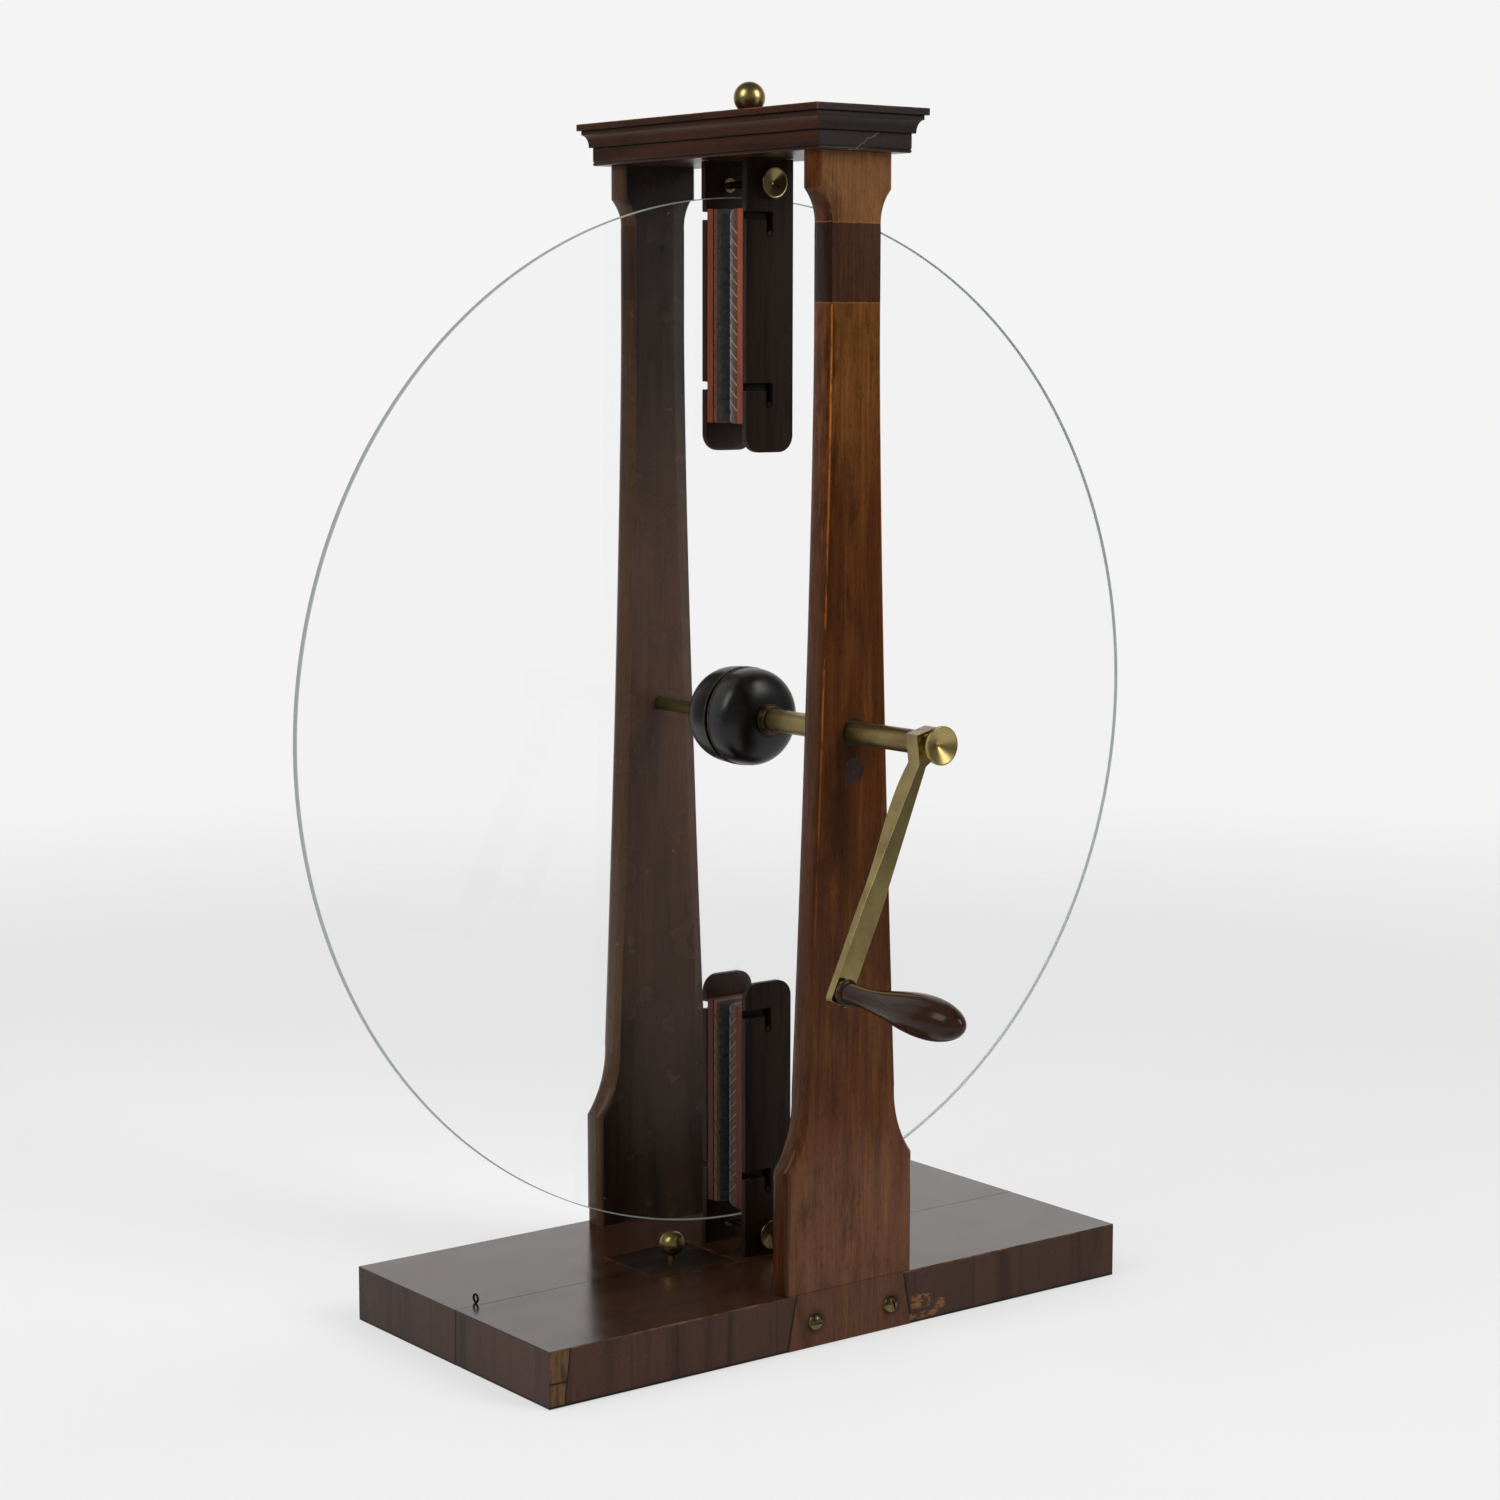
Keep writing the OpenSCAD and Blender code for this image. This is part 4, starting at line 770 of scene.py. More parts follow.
def between(tree, value, low, high, soft):
    """1 where a length lies between two limits in millimetres, fading over a soft edge."""
    rise = remap(tree, value, (low - soft) * MM, low * MM)
    fall = remap(tree, value, (high + soft) * MM, high * MM)
    return maths(tree, "MULTIPLY", rise, fall)


def patches(tree, place, size, low, high):
    """Ragged patches of the given sizes in millimetres: 0 where a noise is below low, 1 above high."""
    return remap(tree, noise(tree, place, size, Detail=6.0, Roughness=0.7), low, high)


def spot(tree, place, centre, inner, outer):
    """1 within a distance of a point, 0 past another, in millimetres."""
    gap = vector(tree, "DISTANCE", place, [part * MM for part in centre])["Value"]
    return remap(tree, gap, outer * MM, inner * MM)


def specks(tree, place, apart, radius):
    """Round specks of one radius in millimetres, strewn about so far apart."""
    gap = add(tree, "ShaderNodeTexVoronoi", {"Vector": place}, size=even(apart)).outputs["Distance"]
    return remap(tree, gap, radius / apart, 0.6 * radius / apart)


def arris_mask(tree, place, centre, half, width):
    """Patchy wear within a width in millimetres of the arrises of a box.

    On a face one of the three distances to the box's sides is nothing, so the middle one is how far
    the arris is."""
    moved = vector(tree, "SUBTRACT", place, [part * MM for part in centre])["Vector"]
    side = vector(tree, "ABSOLUTE", moved)["Vector"]
    x, y, z = split(tree, vector(tree, "SUBTRACT", [part * MM for part in half], side)["Vector"])
    high = maths(tree, "MINIMUM", maths(tree, "MAXIMUM", x, y), z)
    middle = maths(tree, "MAXIMUM", maths(tree, "MINIMUM", x, y), high)
    near = remap(tree, middle, width * MM, 0)
    return maths(tree, "MULTIPLY", near, patches(tree, place, even(9), 0.45, 0.62))


def paint(tree, tone, *layers):
    """Lays colours over a tone in turn, each as far as its masks, sockets or plain shares, let it through."""
    for shade, cover, *masks in layers:
        for mask in masks:
            cover = maths(tree, "MULTIPLY", cover, mask)
        tone = mix(tree, cover, tone, (*shade, 1))
    return tone


def tones_by_height(tree, coordinates, tone, face, sides, keep):
    """Lays one run of tones up a pillar's faces and another up its sides, and keeps some of the figure."""
    place = coordinates["Object"]
    height = split(tree, place)["Z"]
    drift = remap(tree, noise(tree, place, (14, 14, 60), Detail=3.0), 0, 1, -0.03, 0.03)
    level = remap(tree, maths(tree, "ADD", height, drift), 0, 0.7)
    aside = side_mask(tree, coordinates, 0, 0.55, 0.75)
    zones = mix(tree, aside, ramp(tree, level, *face), ramp(tree, level, *sides))
    return mix(tree, 1 - keep, tone, zones), height, aside


def front_pillar_touch(tree, coordinates, tone):
    """Tones up the front pillar: smudges, a pale-edged stain, bare arrises with a painted highlight, dirt by
    the fittings.
    """
    stand = bpy.context.scene.machine_stand
    place = coordinates["Object"]
    gold, worn, brown, deep = stand.pillar_gold, stand.pillar_worn, stand.pillar_brown, stand.pillar_deep
    foot, stain, side, orange = stand.pillar_foot, stand.pillar_stain, stand.side_brown, stand.side_orange
    dark, shadow = 0.62 * side, 0.35 * brown
    face = [
        (0.0, foot), (0.13, foot), (0.2, brown), (0.3, deep), (0.5, brown), (0.6, deep),
        (0.7, brown), (0.8, worn), (0.87, worn), (0.93, gold),
    ]
    sides = [
        (0.0, dark), (0.13, dark), (0.2, side), (0.55, side), (0.75, orange), (0.87, orange),
        (0.94, side), (0.97, orange),
    ]
    tone, height, aside = tones_by_height(tree, coordinates, tone, face, sides, 0.3)
    across = split(tree, place)["X"]
    ragged = remap(tree, noise(tree, place, (5, 5, 12), Detail=4.0), 0, 1, -0.8 * MM, 0.8 * MM)
    edge = maths(tree, "ADD", height, ragged)
    low, high = STAIN
    band = between(tree, edge, low, high, 0.3)
    arris = add(tree, "ShaderNodeAttribute", attribute_name="arris").outputs["Fac"]
    fittings = [(x, SCREWS_Z, 5, 9) for x in SCREWS_X] + [(0, 346, 3, 20)]
    return paint(
        tree, tone,
        # Smudges all over, by the upper left arris and under the plug
        (shadow, patches(tree, place, (16, 16, 45), 0.5, 0.68), 0.6),
        (
            shadow, between(tree, across, -30, -15, 5), between(tree, height, 470, 600, 70),
            patches(tree, place, (5, 5, 22), 0.42, 0.6), 0.7,
        ),
        (shadow, between(tree, across, -13, -7, 9), between(tree, height, 288, 322, 26), 0.75),
        # The stain, darker on the sides, between two pale lines
        (stain, band, 0.9),
        (0.45 * stain, band, aside, 0.9),
        *(
            (gold, between(tree, edge, line - 0.25, line + 0.25, 0.2), 0.5)
            for line in (low - 0.6, high + 0.6)
        ),
        # Arrises rubbed bare under the stain, with a painted highlight there, and nicked at the capital
        (
            stand.pillar_arris_wear_and_highlight, arris, between(tree, edge, 0, low - 1.5, 0.3),
            between(tree, height, 520, 700, 330), patches(tree, place, (6, 6, 30), 0.4, 0.5),
        ),
        (stand.dust, arris, between(tree, height, 648, 690, 2), patches(tree, place, (3, 3, 5), 0.5, 0.62)),
        # The darker dovetail, its joint with the base, and dirt round the fittings
        (0.5 * foot, between(tree, height, -5, BASE_TOP - 0.2, 0.2), 0.4),
        (stand.joint, between(tree, height, BASE_TOP + 0.1, BASE_TOP + 0.6, 0.2), 0.5),
        *(
            (stand.joint, spot(tree, place, (x, -BASE_HALF[1], z), inner, outer), 0.6)
            for x, z, inner, outer in fittings
        ),
    )


def rear_pillar_touch(tree, coordinates, tone):
    """Tones up the rear pillar: near black painted shade at foot and head, brown between, greyer sides, pale
    specks.
    """
    stand = bpy.context.scene.machine_stand
    place = coordinates["Object"]
    brown, deep, side = stand.rear_brown, stand.rear_deep_and_shade, stand.rear_side
    half = 0.5 * (brown + deep)
    # The face's near black at the foot and the head is painted shade
    face = [(0.0, deep), (0.13, deep), (0.25, half), (0.42, brown), (0.6, brown), (0.72, half), (0.8, deep)]
    sides = [(0.0, side), (0.6, side), (0.82, brown), (0.9, brown), (0.95, side)]
    tone, height, _ = tones_by_height(tree, coordinates, tone, face, sides, 0.25)
    return paint(
        tree, tone,
        (deep, patches(tree, place, (26, 26, 130), 0.35, 0.85), 0.5),
        (deep, between(tree, height, *STAIN, 0.4), 0.3),
        (stand.dust, specks(tree, place, 22, 0.6), 0.7),
    )


def base_top_touch(tree, coordinates, tone):
    """Dirt in the plank joint, a rubbed line round the inlaid panel and bare worn arrises."""
    stand = bpy.context.scene.machine_stand
    place = coordinates["Object"]
    y = split(tree, place)["Y"]
    moved = vector(tree, "SUBTRACT", place, [part * MM for part in SMALL_BALL])["Vector"]
    off = vector(tree, "ABSOLUTE", moved)["Vector"]
    # The panel is 3 mm longer than it is wide
    off_x, off_y, _ = split(tree, vector(tree, "ADD", off, (0, 1.5 * MM, 0))["Vector"])
    round_panel = between(tree, maths(tree, "MAXIMUM", off_x, off_y), 28.5, 30.2, 1.6)
    worn = arris_mask(tree, place, (0, 0, BASE_HALF[2]), BASE_HALF, 1.2)
    return paint(
        tree, tone,
        (stand.joint, between(tree, y, *PLANK_JOINT, 0.3)),
        (stand.base_worn, round_panel, patches(tree, place, even(8), 0.5, 0.62), 0.5),
        (stand.base_worn, worn, between(tree, y, -110, -96, 3)),
    )


def veneer_touch(tree, coordinates, tone):
    """Upright strips with dark joints, dirty dovetails, a mended corner, chips, bare worn arrises and painted
    shade at the foot.
    """
    stand = bpy.context.scene.machine_stand
    dirt, bare = stand.joint, stand.base_worn
    place = coordinates["Object"]
    front = side_mask(tree, coordinates, 1, 0.6, 0.8)
    x, y, z = split(tree, place)
    along = maths(tree, "ADD", x, y)
    strip, joint = (
        add(
            tree, "ShaderNodeTexVoronoi", {"W": along, "Scale": 1 / (38 * MM), "Randomness": 0.9},
            voronoi_dimensions="1D", feature=feature,
        ).outputs
        for feature in ("F1", "DISTANCE_TO_EDGE")
    )
    line = remap(tree, joint[0], 0.02, 0.005, 0, -0.3)
    pick = add(tree, "ShaderNodeSeparateColor", {0: strip["Color"]}).outputs[0]
    shade = maths(tree, "ADD", line, remap(tree, pick, 0, 1, 0.42, 0.62))
    tone = mix(tree, 0.7, tone, shade, "OVERLAY")
    # The dovetail's side lies where |x| + 0.196 z is 46 mm
    flare = maths(tree, "MULTIPLY_ADD", z, 0.196, maths(tree, "ABSOLUTE", x))
    # The front left corner is mended with a block whose edge leans
    lean = maths(tree, "MULTIPLY_ADD", z, -0.12, x)
    ahead = between(tree, y, -110, -98, 0.1)
    block = between(tree, lean, -230, -201.5, 0.2)
    ragged = patches(tree, place, (6, 6, 3), 0.47, 0.52)
    chips = ((47, 60, 9, 16), (45, 66, 2, 5), (66, 72, 6, 11))
    worn = arris_mask(tree, place, (0, 0, BASE_HALF[2]), BASE_HALF, 1.2)
    return paint(
        tree, tone,
        (dirt, between(tree, flare, 45.5, 47.2, 0.3), front),
        (dirt, between(tree, y, *PLANK_JOINT, 0.3)),
        (stand.base_chip, block, front, ahead),
        (dirt, block, front, ahead, patches(tree, place, (3, 3, 24), 0.48, 0.6), 0.7),
        (dirt, between(tree, lean, -201.7, -201.0, 0.2), front, ahead),
        (dirt, block, between(tree, z, 13.6, 14.4, 0.3), front, ahead),
        *(
            (bare, between(tree, x, x0, x1, 2), between(tree, z, z0, z1, 1), ragged, front, ahead, 0.8)
            for x0, x1, z0, z1 in chips
        ),
        (bare, worn, between(tree, z, 20, 40, 8), front),
        # Painted shade: a dark line along the foot, where the base meets the floor
        (dirt, between(tree, z, -1, 1.2, 0.6)),
    )


def cap_touch(tree, coordinates, tone):
    """Dark lines between the cap's layers, and blackened ends with a crack and pale worn arrises."""
    stand = bpy.context.scene.machine_stand
    place = coordinates["Object"]
    end = side_mask(tree, coordinates, 1, 0.5, 0.7)
    x, _, z = split(tree, place)
    slope = maths(tree, "MULTIPLY_ADD", x, -0.35, z)
    slope = maths(tree, "MULTIPLY_ADD", noise(tree, place, even(14), Detail=4.0), 0.012, slope)
    crack = between(tree, slope, 695.0, 695.2, 0.2)
    joints = (685.5, 694.3, 704.2)
    return paint(
        tree, tone,
        (stand.cap_end, end),
        (stand.base_worn, arris_mask(tree, place, (0, 0, 600), (40.4, 116.9, 108.3), 1.0)),
        *((stand.joint, between(tree, z, line - 0.3, line + 0.3, 0.3), 0.8) for line in joints),
        (stand.dust, crack, end, between(tree, x, -12, 8, 2), 0.3),
    )


def backing_touch(tree, coordinates, tone):
    """The lower backings are darkened and the faces towards the boards blackened as painted shade; the rear
    ones are soiled.
    """
    scene = bpy.context.scene
    soil_and_shade = scene.machine_rubber.soil_and_shade
    _, y, z = split(tree, coordinates["Object"])
    return paint(
        tree, tone,
        # Painted shade on the lower backings
        (soil_and_shade, between(tree, z, -10, 300, 5), 0.75),
        (soil_and_shade, between(tree, y, 5, 40, 1), 0.42),
        # Painted shade: the faces towards the boards and the leather are near black
        (scene.machine_stand.joint, side_mask(tree, coordinates, 1, 0.6, 0.8)),
    )


class MACHINE_OT_stage(bpy.types.Operator):
    """Sets up the camera, the two soft boxes, the white sweep and the floor."""

    bl_idname = "machine.stage"
    bl_label = "Stage"

    def execute(self, context):
        scene = context.scene
        stage = scene.machine_stage
        yaw, pitch, roll = (math.radians(angle) for angle in CAMERA_TURN)
        level = Matrix.Rotation(-yaw, 3, "Z") @ Matrix.Rotation(math.pi / 2 - pitch, 3, "X")
        turn = level @ Matrix.Rotation(roll, 3, "Z")
        camera = placed("camera", bpy.data.cameras.new("camera"))
        camera.data.sensor_width = CAMERA_SENSOR
        camera.data.lens = CAMERA_LENS
        camera.data.clip_end = 50
        camera.matrix_world = Matrix.Translation(Vector(CAMERA_PLACE)) @ turn.to_4x4()
        scene.camera = camera
        scene.view_settings.view_transform = "Standard"
        for name, lamp_way in LAMP_WAYS.items():
            lamp = bpy.data.lights.new(f"{name}_soft_box", "AREA")
            lamp.shape = "RECTANGLE"
            lamp.size, lamp.size_y = LAMP_SIZE
            lamp.energy = getattr(stage, f"{name}_lamp")
            holder = placed(lamp.name, lamp)
            way = (level @ Vector(lamp_way)).normalized()
            holder.location = Vector(LAMP_TARGET) + LAMP_DISTANCE * way
            holder.rotation_euler = way.to_track_quat("Z", "Y").to_euler()
        self.light_world(scene, stage, level.col[2])
        self.lay_floor(stage)
        return {"FINISHED"}

    def light_world(self, scene, stage, back):
        """White for camera and glass, a sweep that darkens towards the camera for gloss, else soft grey."""
        world = bpy.data.worlds.new("studio")
        scene.world = world
        world.use_nodes = True
        tree = world.node_tree
        tree.nodes.clear()
        ray = add(tree, "ShaderNodeLightPath").outputs
        way = add(tree, "ShaderNodeTexCoord").outputs["Generated"]
        front = Vector((back.x, back.y, 0)).normalized()
        facing = vector(tree, "DOT_PRODUCT", way, front)["Value"]
        room = remap(tree, facing, -0.93, -0.5, 0.92, 0.2)
        ceiling = remap(tree, split(tree, way)["Z"], 0.35, 0.85, 1.0, 0.45)
        sweep = maths(tree, "MULTIPLY", room, ceiling)
        plain = mix(tree, ray["Is Glossy Ray"], (*even(stage.sky), 1), sweep)
        seen = maths(tree, "MAXIMUM", ray["Is Camera Ray"], ray["Is Transmission Ray"])
        shade = mix(tree, seen, plain, (*stage.backdrop, 1))
        light = add(tree, "ShaderNodeBackground", {"Color": shade, "Strength": 1.0})
        add(tree, "ShaderNodeOutputWorld", {"Surface": light.outputs[0]})

    def lay_floor(self, stage):
        """A round matt floor, part lit like the sweep, that fades into it: rings r (cos t, sin t)."""
        material, tree, shader, coordinates = start_material("matt_floor")
        place = coordinates["Object"]
        mottle = noise(tree, place, even(400), Detail=2.0)
        tone = ramp(tree, mottle, (0.2, 0.97 * stage.floor), (0.8, stage.floor))
        distance = vector(tree, "LENGTH", place)["Value"]
        ray = add(tree, "ShaderNodeLightPath").outputs
        seen = maths(tree, "MAXIMUM", ray["Is Camera Ray"], ray["Is Glossy Ray"])
        seen = maths(tree, "MAXIMUM", seen, ray["Is Transmission Ray"])
        glow = maths(tree, "MULTIPLY", seen, stage.wash)
        feed(tree, shader, {
            "Base Color": mix(tree, glow, tone, (0, 0, 0, 1)),
            "Roughness": 0.9,
            "Specular IOR Level": 0.1,
            "Emission Color": (*stage.backdrop, 1),
            "Emission Strength": glow,
            "Alpha": remap(tree, distance, 0.9, 2.4, 1, 0, interpolation_type="SMOOTHSTEP"),
        })
        steps = 64
        t = around(steps)
        r = np.array([0.0, 600, 1200, 2500])[:, None]
        points = np.stack([r * np.cos(t), r * np.sin(t), 0 * r * t - 0.5], axis=-1).reshape(-1, 3)
        mesh = shell_mesh("floor", points, grid_faces(len(r), steps, False, True))
        mesh.materials.append(material)
        placed("floor", mesh)


class MACHINE_OT_stand(bpy.types.Operator):
    """Dresses the base, the pillars and the cap in old mahogany."""

    bl_idname = "machine.stand"
    bl_label = "Stand"

    def execute(self, context):
        stand = context.scene.machine_stand
        # Waxed mahogany, sawn with the grain upright: golden flecks and brown ribbons
        front = wood(
            "waxed_mahogany", (stand.pillar_deep, stand.pillar_brown, stand.pillar_worn), "Z", (0.15, 0.24),
            gloss=0.1, figure=9, touch=front_pillar_touch, streaks=0.4, pores=0.5,
        )
        # Mahogany gone dark and dull with age, and painted shade at the rear pillar's foot and head
        rear = materials["rear_mahogany"] = wood(
            "darkened_mahogany", (stand.rear_deep_and_shade, stand.rear_brown, stand.rear_brown), "Z", (0.2, 0.3),
            gloss=0.15, figure=10, touch=rear_pillar_touch,
        )
        self.pillar("front", -PILLAR_MIDDLE, front, 8.05, (-103.0, -85.0))
        self.pillar("rear", PILLAR_MIDDLE, rear, 5.55, (85.0, 97.9))
        # French-polished mahogany: a glossy top with long grain
        base = wood(
            "polished_mahogany", (stand.base_deep, stand.base_brown, stand.base_brown), "X", (0.13, 0.22),
            gloss=0.5, figure=26, touch=base_top_touch, streaks=0.2, pores=0.25,
        )
        # Mahogany veneer with its grain upright, in satin strips
        veneer = wood(
            "veneered_mahogany", (stand.veneer_deep, stand.veneer_brown, stand.veneer_brown), "Z",
            (0.25, 0.35), gloss=0.15, figure=26, touch=veneer_touch, streaks=0.2, pores=0.25,
        )
        for side in SIDES:
            plank = eased_copy(f"{side}_plank", f"base_{side}_plank", base, stand.arris).data
            facing = rows_of(plank.polygons, "normal")
            second_material(plank, veneer, np.abs(facing[:, 2]) < 0.5)
        # Satin mahogany with the grain along the cap
        cap = wood(
            "satin_mahogany", (stand.cap_deep, stand.cap_brown, stand.cap_brown), "Y", (0.24, 0.34),
            gloss=0.15, touch=cap_touch, streaks=0.15,
        )
        for layer in ("frieze", "moulding", "corona"):
            eased_copy(f"{layer}_board", f"cap_{layer}", cap, stand.arris)
        # Dark inlay, rubbed dull
        panel = wood("dark_inlay", (stand.inlay, stand.inlay, stand.base_brown), "X", (0.25, 0.4))
        dress("base_inlay", panel)
        return {"FINISHED"}

    def pillar(self, side, middle, material, bush, reach):
        """One pillar, bored for its bush, its plug and its screws."""
        stand = bpy.context.scene.machine_stand
        name = f"{side}_upright"
        mesh = shell_mesh(name, *pillar_shell(middle, stand.plinth_nose / MM, stand.shaft_nose / MM))
        piece = finish_piece(name, mesh, material, (f"{side}_pillar",))
        through = (middle - 9, middle + 9)
        plug = (0.0, 335.0, 7.55, *through)
        screws = ((x, SCREWS_Z, 2.55, *through) for x in SCREWS_X)
        bored(piece, [(0.0, AXLE[2], bush, *reach), plug, *screws])
        mark_arrises(piece.data, middle, stand.shaft_nose / MM)


class MACHINE_OT_fittings(bpy.types.Operator):
    """Makes the balls, and dresses the eye, the screws, the plugs and the bushes."""

    bl_idname = "machine.fittings"
    bl_label = "Fittings"

    def execute(self, context):
        bright = materials["bright_brass"]
        for name, profile, foot in (
            ("cap_ball", ball_profile(18.6, 708.3, 1.6), (2, 0, 0)),
            ("base_ball", ball_profile(15.2, 32.0, 3.0), SMALL_BALL),
        ):
            turned(f"{name}_turned", profile, bright, (name,), foot, (0, 0, 1))
        dress("earth_eye", materials["iron"])
        plug = context.scene.machine_wheel.plug_brown
        # End grain, oiled and dirty
        oiled = wood("oiled_end_grain", (plug, plug, 1.6 * plug), "Y", (0.4, 0.5), gloss=0.15, figure=5)
        for side in SIDES:
            dress(f"{side}_pillar_screws", materials["tarnished"])
            dress(f"{side}_bush", materials["ebonised"])
        dress("front_plug", oiled)
        dress("rear_plug", materials["rear_mahogany"])
        return {"FINISHED"}


class MACHINE_OT_wheel(bpy.types.Operator):
    """Makes the glass plate, the turned hub, the axle and the collar."""

    bl_idname = "machine.wheel"
    bl_label = "Wheel"

    def execute(self, context):
        wheel = context.scene.machine_wheel
        self.plate(wheel)
        ebony = materials["ebonised"]
        bore, thin_bore, near, far = 6.05, 4.3, -1.8, 3.8
        front = np.vstack([[[bore, near]], boss_profile(20.0, 11.0) * (1, -1) + (0, near), [[bore, -21.8]]])
        turned("front_boss_turned", front, ebony, ("front_boss",), ring=True)
        step = [[thin_bore, 32.3], [thin_bore, 26.3], [bore, 26.3]]
        rear = np.vstack([[[bore, far]], boss_profile(28.5, 8.0) + (0, far), step])
        turned("rear_boss_turned", rear, ebony, ("rear_boss",), ring=True)
        collar = eased([
            (6.8, -21.8), (9.15, -21.8), (9.15, -24.2), (8.15, -24.2), (8.15, -25.1), (8.65, -25.1),
            (8.65, -26.6), (8.15, -26.6), (8.15, -27.8), (6.8, -27.8),
        ], 0.25)
        turned("collar_turned", collar, materials["bronze"], ("hub_collar",), ring=True)
        axle = eased([
            (0, -174), (4, -174), (4, -159), (6.75, -159), (6.75, -21.8), (6, -21.8), (6, 26.3),
            (4.25, 26.3), (4.25, 96.9), (0, 96.9),
        ], 0.4)
        turned("axle_turned", axle, materials["axle_brass"], ("axle",))
        # Leather packing, grey with dust along its edge
        packing = fibrous("dusty_leather", wheel.packing, 0.5, 0.9, 0.7, 0.1, 0.05)
        for side in SIDES:
            dress(f"{side}_packing", packing)
        dress("hub_pin", materials["steel"])
        return {"FINISHED"}

    def plate(self, wheel):
        """The plate, a ring whose outer edge is a quarter round on each face, and its ground rim."""
        radius, hole, ease, near, far = 304.8, 13.0, 0.5, -1.0, 3.0
        a = np.linspace(0, np.pi / 2, 8)
        round_edge = np.column_stack([radius - ease + ease * np.sin(a), near + ease - ease * np.cos(a)])
        other_edge = round_edge[::-1] * (1, -1) + (0, near + far)
        profile = np.vstack([[[hole, near]], round_edge, other_edge, [[hole, far]]])
        plate = turned("plate", profile, self.glass(wheel), ("glass_plate",), ring=True, steps=360)
        plate.visible_shadow = False
        x, _, z = rows_of(plate.data.polygons, "center").T / MM
        on_rim = np.hypot(x, z - AXLE[2]) > radius - ease + 0.02
        second_material(plate.data, self.ground_edge(wheel), on_rim)

    def glass(self, wheel):
        """Polished plate glass: clear, with fine scratches that dull its gloss a little."""
        material, tree, shader, coordinates = start_material("plate_glass")
        scratch = noise(tree, coordinates["Object"], (0.8, 0.8, 5), Detail=5.0, Roughness=0.8)
        feed(tree, shader, {
            "Base Color": (*wheel.glass, 1),
            "Roughness": remap(tree, scratch, 0.68, 0.8, 0, 0.08),
            "Transmission Weight": 1.0,
            "IOR": 1.25,
        })
        return material

    def ground_edge(self, wheel):
        """Ground glass: a milky rim that stays partly clear."""
        material, tree, shader, coordinates = start_material("ground_glass")
        grit = noise(tree, coordinates["Object"], even(8), Detail=4.0)
        feed(tree, shader, {
            "Base Color": (*wheel.rim, 1),
            "Roughness": remap(tree, grit, 0, 1, 0.4, 0.6),
            "Transmission Weight": 0.2,
            "IOR": 1.45,
        })
        return material


class MACHINE_OT_crank(bpy.types.Operator):
    """Makes the crank's arm, its nut and its turned handle."""

    bl_idname = "machine.crank"
    bl_label = "Crank"

    def execute(self, context):
        wheel = context.scene.machine_wheel
        brass = materials["brass"]
        arm_face = -169.0
        eased_copy("arm_eased", "crank_arm", brass, 0.9 * MM)
        nut = dished_head(arm_face, -179.6, 22.0, 11.0, 3.2, 2.1, 4.2)
        turned("crank_nut_turned", nut, materials["bright_brass"], ("crank_nut",))
        # Turned mahogany, polished by hands
        grip = wood(
            "hand_polished_mahogany", (wheel.handle_deep, wheel.handle_brown, wheel.handle_brown), "Y",
            (0.12, 0.18), gloss=0.14, figure=6,
        )
        bore = [[0.0, 61.6], [3.05, 61.6], [3.05, 0.0]]
        droop = math.radians(1.6)
        axis = np.array([0.0, -math.cos(droop), -math.sin(droop)])
        # The handle starts a washer's thickness off the arm
        root = np.array([-60.925, arm_face, 224.54]) + 1.5 * axis
        profile = np.vstack([bore, handle_profile()])
        turned("handle_turned", profile, grip, ("crank_handle",), root, axis)
        dress("handle_spindle", materials["steel"])
        dress("handle_washer", brass)
        return {"FINISHED"}


class MACHINE_OT_clamps(bpy.types.Operator):
    """Makes the clamp boards and their screws."""

    bl_idname = "machine.clamps"
    bl_label = "Clamps"

    def execute(self, context):
        rubber = context.scene.machine_rubber
        brass = materials["brass"]
        # Thin hardwood, blackened by handling
        black = wood(
            "blackened_hardwood", (rubber.board_deep, rubber.board, rubber.board), "Z", (0.3, 0.45),
            gloss=0.1, figure=8,
        )
        board_face = -22.6
        rod = [(0, 23.0), (2.1, 23.0), (2.1, board_face)]
        head = dished_head(board_face, -27.6, 18.0, 9.0, 1.5, 1.0, 2.4)
        screw = np.vstack([rod, head[1:]])
        for level, z in zip(LEVELS, (669.5, 45.0)):
            for side in SIDES:
                eased_copy(f"{level}_{side}_clamp_board", f"{level}_{side}_board", black, 0.5 * MM)
            turned(f"{level}_screw_turned", screw, brass, (f"{level}_clamp_screw",), (0, 0, z), steps=64)
            dress(f"{level}_clamp_nut", brass)
        return {"FINISHED"}


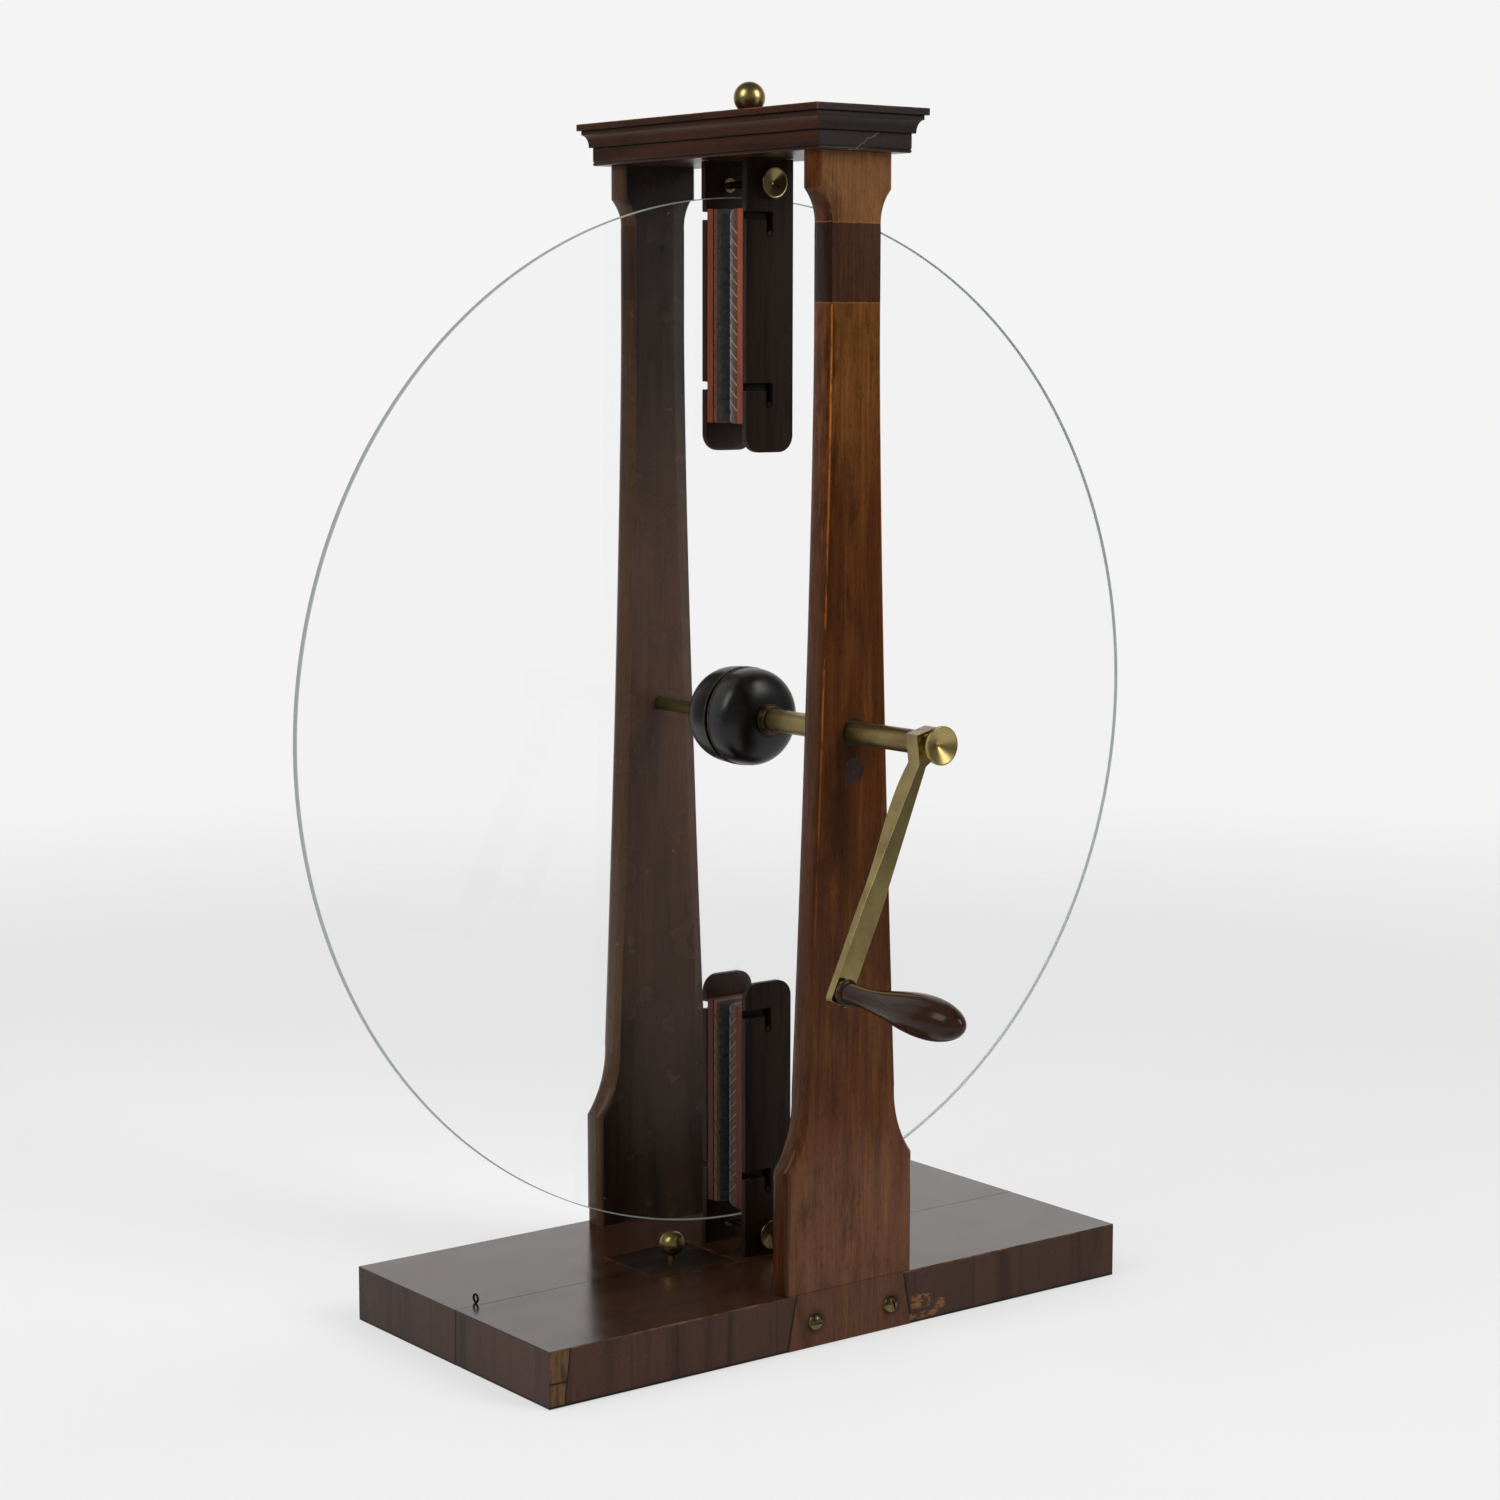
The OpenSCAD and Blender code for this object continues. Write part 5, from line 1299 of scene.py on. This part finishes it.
class MACHINE_OT_rubbers(bpy.types.Operator):
    """Makes the rubbers: red backings, leather, stuffed cushions and whip stitches."""

    bl_idname = "machine.rubbers"
    bl_label = "Rubbers"

    def execute(self, context):
        rubber = context.scene.machine_rubber
        # Red-stained close-grained wood
        backing = wood(
            "red_stained_wood", (rubber.red_deep, rubber.red_wood, rubber.red_wood), "Z", (0.35, 0.5),
            gloss=0.12, figure=7, touch=backing_touch,
        )
        # The upper rubbers keep their colour, and the lower ones keep only a share of it as painted shade
        for level, slant, lit_share in (("upper", 1, 1.0), ("lower", -1, 0.45)):
            felt, felt_dark = lit_share * rubber.felt, lit_share * rubber.felt_dark
            felts = {
                # Grey felt, soft and furred
                "front": fibrous(f"{level}_grey_felt", felt, 0.6, 0.7, 0.95, 0.25, 0.3),
                # Felt blackened by rubbing
                "rear": fibrous(f"{level}_rubbed_felt", felt_dark, 0.6, 0.7, 0.8, 0.2, 0.2),
            }
            for side, shade in zip(SIDES, (rubber.thread_pale, rubber.thread_dark)):
                # Waxed linen thread, pale in front and soiled at the rear, and darker below as painted shade
                linen = fibrous(f"{level}_{side}_linen", lit_share * shade, 0.6, 0.3, 0.8, 0.1, 0.2)
                eased_copy(f"{level}_{side}_backing_block", f"{level}_{side}_backing", backing, 0.4 * MM)
                self.pad(rubber, level, side, slant, felts[side], linen)
                dress(f"{level}_{side}_studs", materials["iron"])
        return {"FINISHED"}

    def pad(self, rubber, level, side, slant, felt, linen):
        """The leather layer, the stuffed cushion and the stitches of one rubber."""
        name = f"{level}_{side}"
        pitch = RUBBER_RUN / rubber.stitches
        layer = shell_mesh("leather", *leather_shell(level, side, slant, pitch))
        finish_piece(f"{name}_leather_layer", layer, materials["leather"], (f"{name}_leather",), smooth=60)
        points, faces, held = cushion_shell(level, side, slant, pitch)
        cover = shell_mesh("cushion", points, faces)
        stuffed(cover, held, rubber.stuffing)
        pad = finish_piece(f"{name}_stuffed_cushion", cover, felt, (f"{name}_cushion",), smooth=60)
        smoothing = pad.modifiers.new("smoothing", "SUBSURF")
        smoothing.levels = smoothing.render_levels = 1
        threads = shell_mesh("stitches", *thread_shell(level, side, slant, pitch, rubber.thread / MM))
        body = body_of[f"{name}_cushion"]
        finish_piece(f"{name}_stitches", threads, linen, body=body, slot="felt", smooth=60)


class MACHINE_OT_finishes(bpy.types.Operator):
    """Mixes the finishes that several pieces share."""

    bl_idname = "machine.finishes"
    bl_label = "Finishes"

    def execute(self, context):
        scene = context.scene
        metals = scene.machine_metal
        brass, browned = metals.crank_brass, metals.crank_dull
        # Cast and turned brass with a satin face, a little browner where hands miss it
        materials["brass"] = metal("satin_brass", brass, browned, (0.2, 0.28), 24.0)
        # Drawn brass rod, dull and even
        materials["axle_brass"] = metal("drawn_brass", brass, browned, (0.38, 0.46), 24.0)
        # Turned brass, polished long ago and now soft in its gloss
        materials["bright_brass"] = metal(
            "polished_brass", metals.brass, metals.brass_dull, (0.27, 0.34), 30.0,
        )
        # Brass screws, spotted and black in their slots
        materials["tarnished"] = metal("tarnished_brass", browned, metals.tarnish, (0.25, 0.45), 3.0)
        # Bronze, browned by age
        materials["bronze"] = metal("browned_bronze", metals.bronze, 0.5 * metals.bronze, (0.25, 0.4), 6.0)
        # Forged iron gone black
        materials["iron"] = metal("blackened_iron", metals.iron, 0.5 * metals.iron, (0.4, 0.55), 4.0)
        # Bright steel gone grey
        materials["steel"] = metal("worn_steel", metals.steel, metals.brass_dull, (0.25, 0.45), 4.0)
        black, worn = scene.machine_wheel.hub_black, scene.machine_wheel.hub_worn
        # Turned wood, dyed black and polished, browned where it has worn
        materials["ebonised"] = wood(
            "ebonised_wood", (black, black, worn), "Y", (0.26, 0.34), gloss=0.35, figure=12,
        )
        # Vegetable-tanned leather
        leather = scene.machine_rubber.leather
        materials["leather"] = fibrous("brown_leather", leather, 0.6, 0.9, 0.6, 0.15, 0.05)
        return {"FINISHED"}


class MACHINE_PT_panel(bpy.types.Panel):
    """Lists the machine's sizes, colours and operators."""

    bl_idname = "MACHINE_PT_panel"
    bl_label = "Friction machine"
    bl_space_type = "VIEW_3D"
    bl_region_type = "UI"
    bl_category = "Machine"

    def draw(self, context):
        for group, _ in setting_groups:
            box = self.layout.box()
            settings = getattr(context.scene, group)
            for key in settings.bl_rna.properties.keys():
                if key not in ("rna_type", "name"):
                    box.prop(settings, key, text=key.replace("_", " ").capitalize())
        for operator in operators:
            self.layout.operator(operator.bl_idname)


materials = {}
operators = (
    MACHINE_OT_stage, MACHINE_OT_finishes, MACHINE_OT_stand, MACHINE_OT_fittings, MACHINE_OT_wheel,
    MACHINE_OT_crank, MACHINE_OT_clamps, MACHINE_OT_rubbers,
)
setting_groups = (
    ("machine_stand", StandSettings), ("machine_wheel", WheelSettings), ("machine_rubber", RubberSettings),
    ("machine_metal", MetalSettings), ("machine_stage", StageSettings),
)


def register():
    """Adds the settings, the operators and the panel to Blender."""
    for group, settings in setting_groups:
        bpy.utils.register_class(settings)
        setattr(bpy.types.Scene, group, PointerProperty(type=settings))
    for part in (*operators, MACHINE_PT_panel):
        bpy.utils.register_class(part)


def unregister():
    """Takes the panel, the operators and the settings out again."""
    for part in (MACHINE_PT_panel, *reversed(operators)):
        bpy.utils.unregister_class(part)
    for group, settings in reversed(setting_groups):
        delattr(bpy.types.Scene, group)
        bpy.utils.unregister_class(settings)


def main():
    register()
    bpy.ops.machine.stage()
    bpy.ops.machine.finishes()
    bpy.ops.machine.stand()
    bpy.ops.machine.fittings()
    bpy.ops.machine.wheel()
    bpy.ops.machine.crank()
    bpy.ops.machine.clamps()
    bpy.ops.machine.rubbers()


if __name__ == "__main__":
    main()
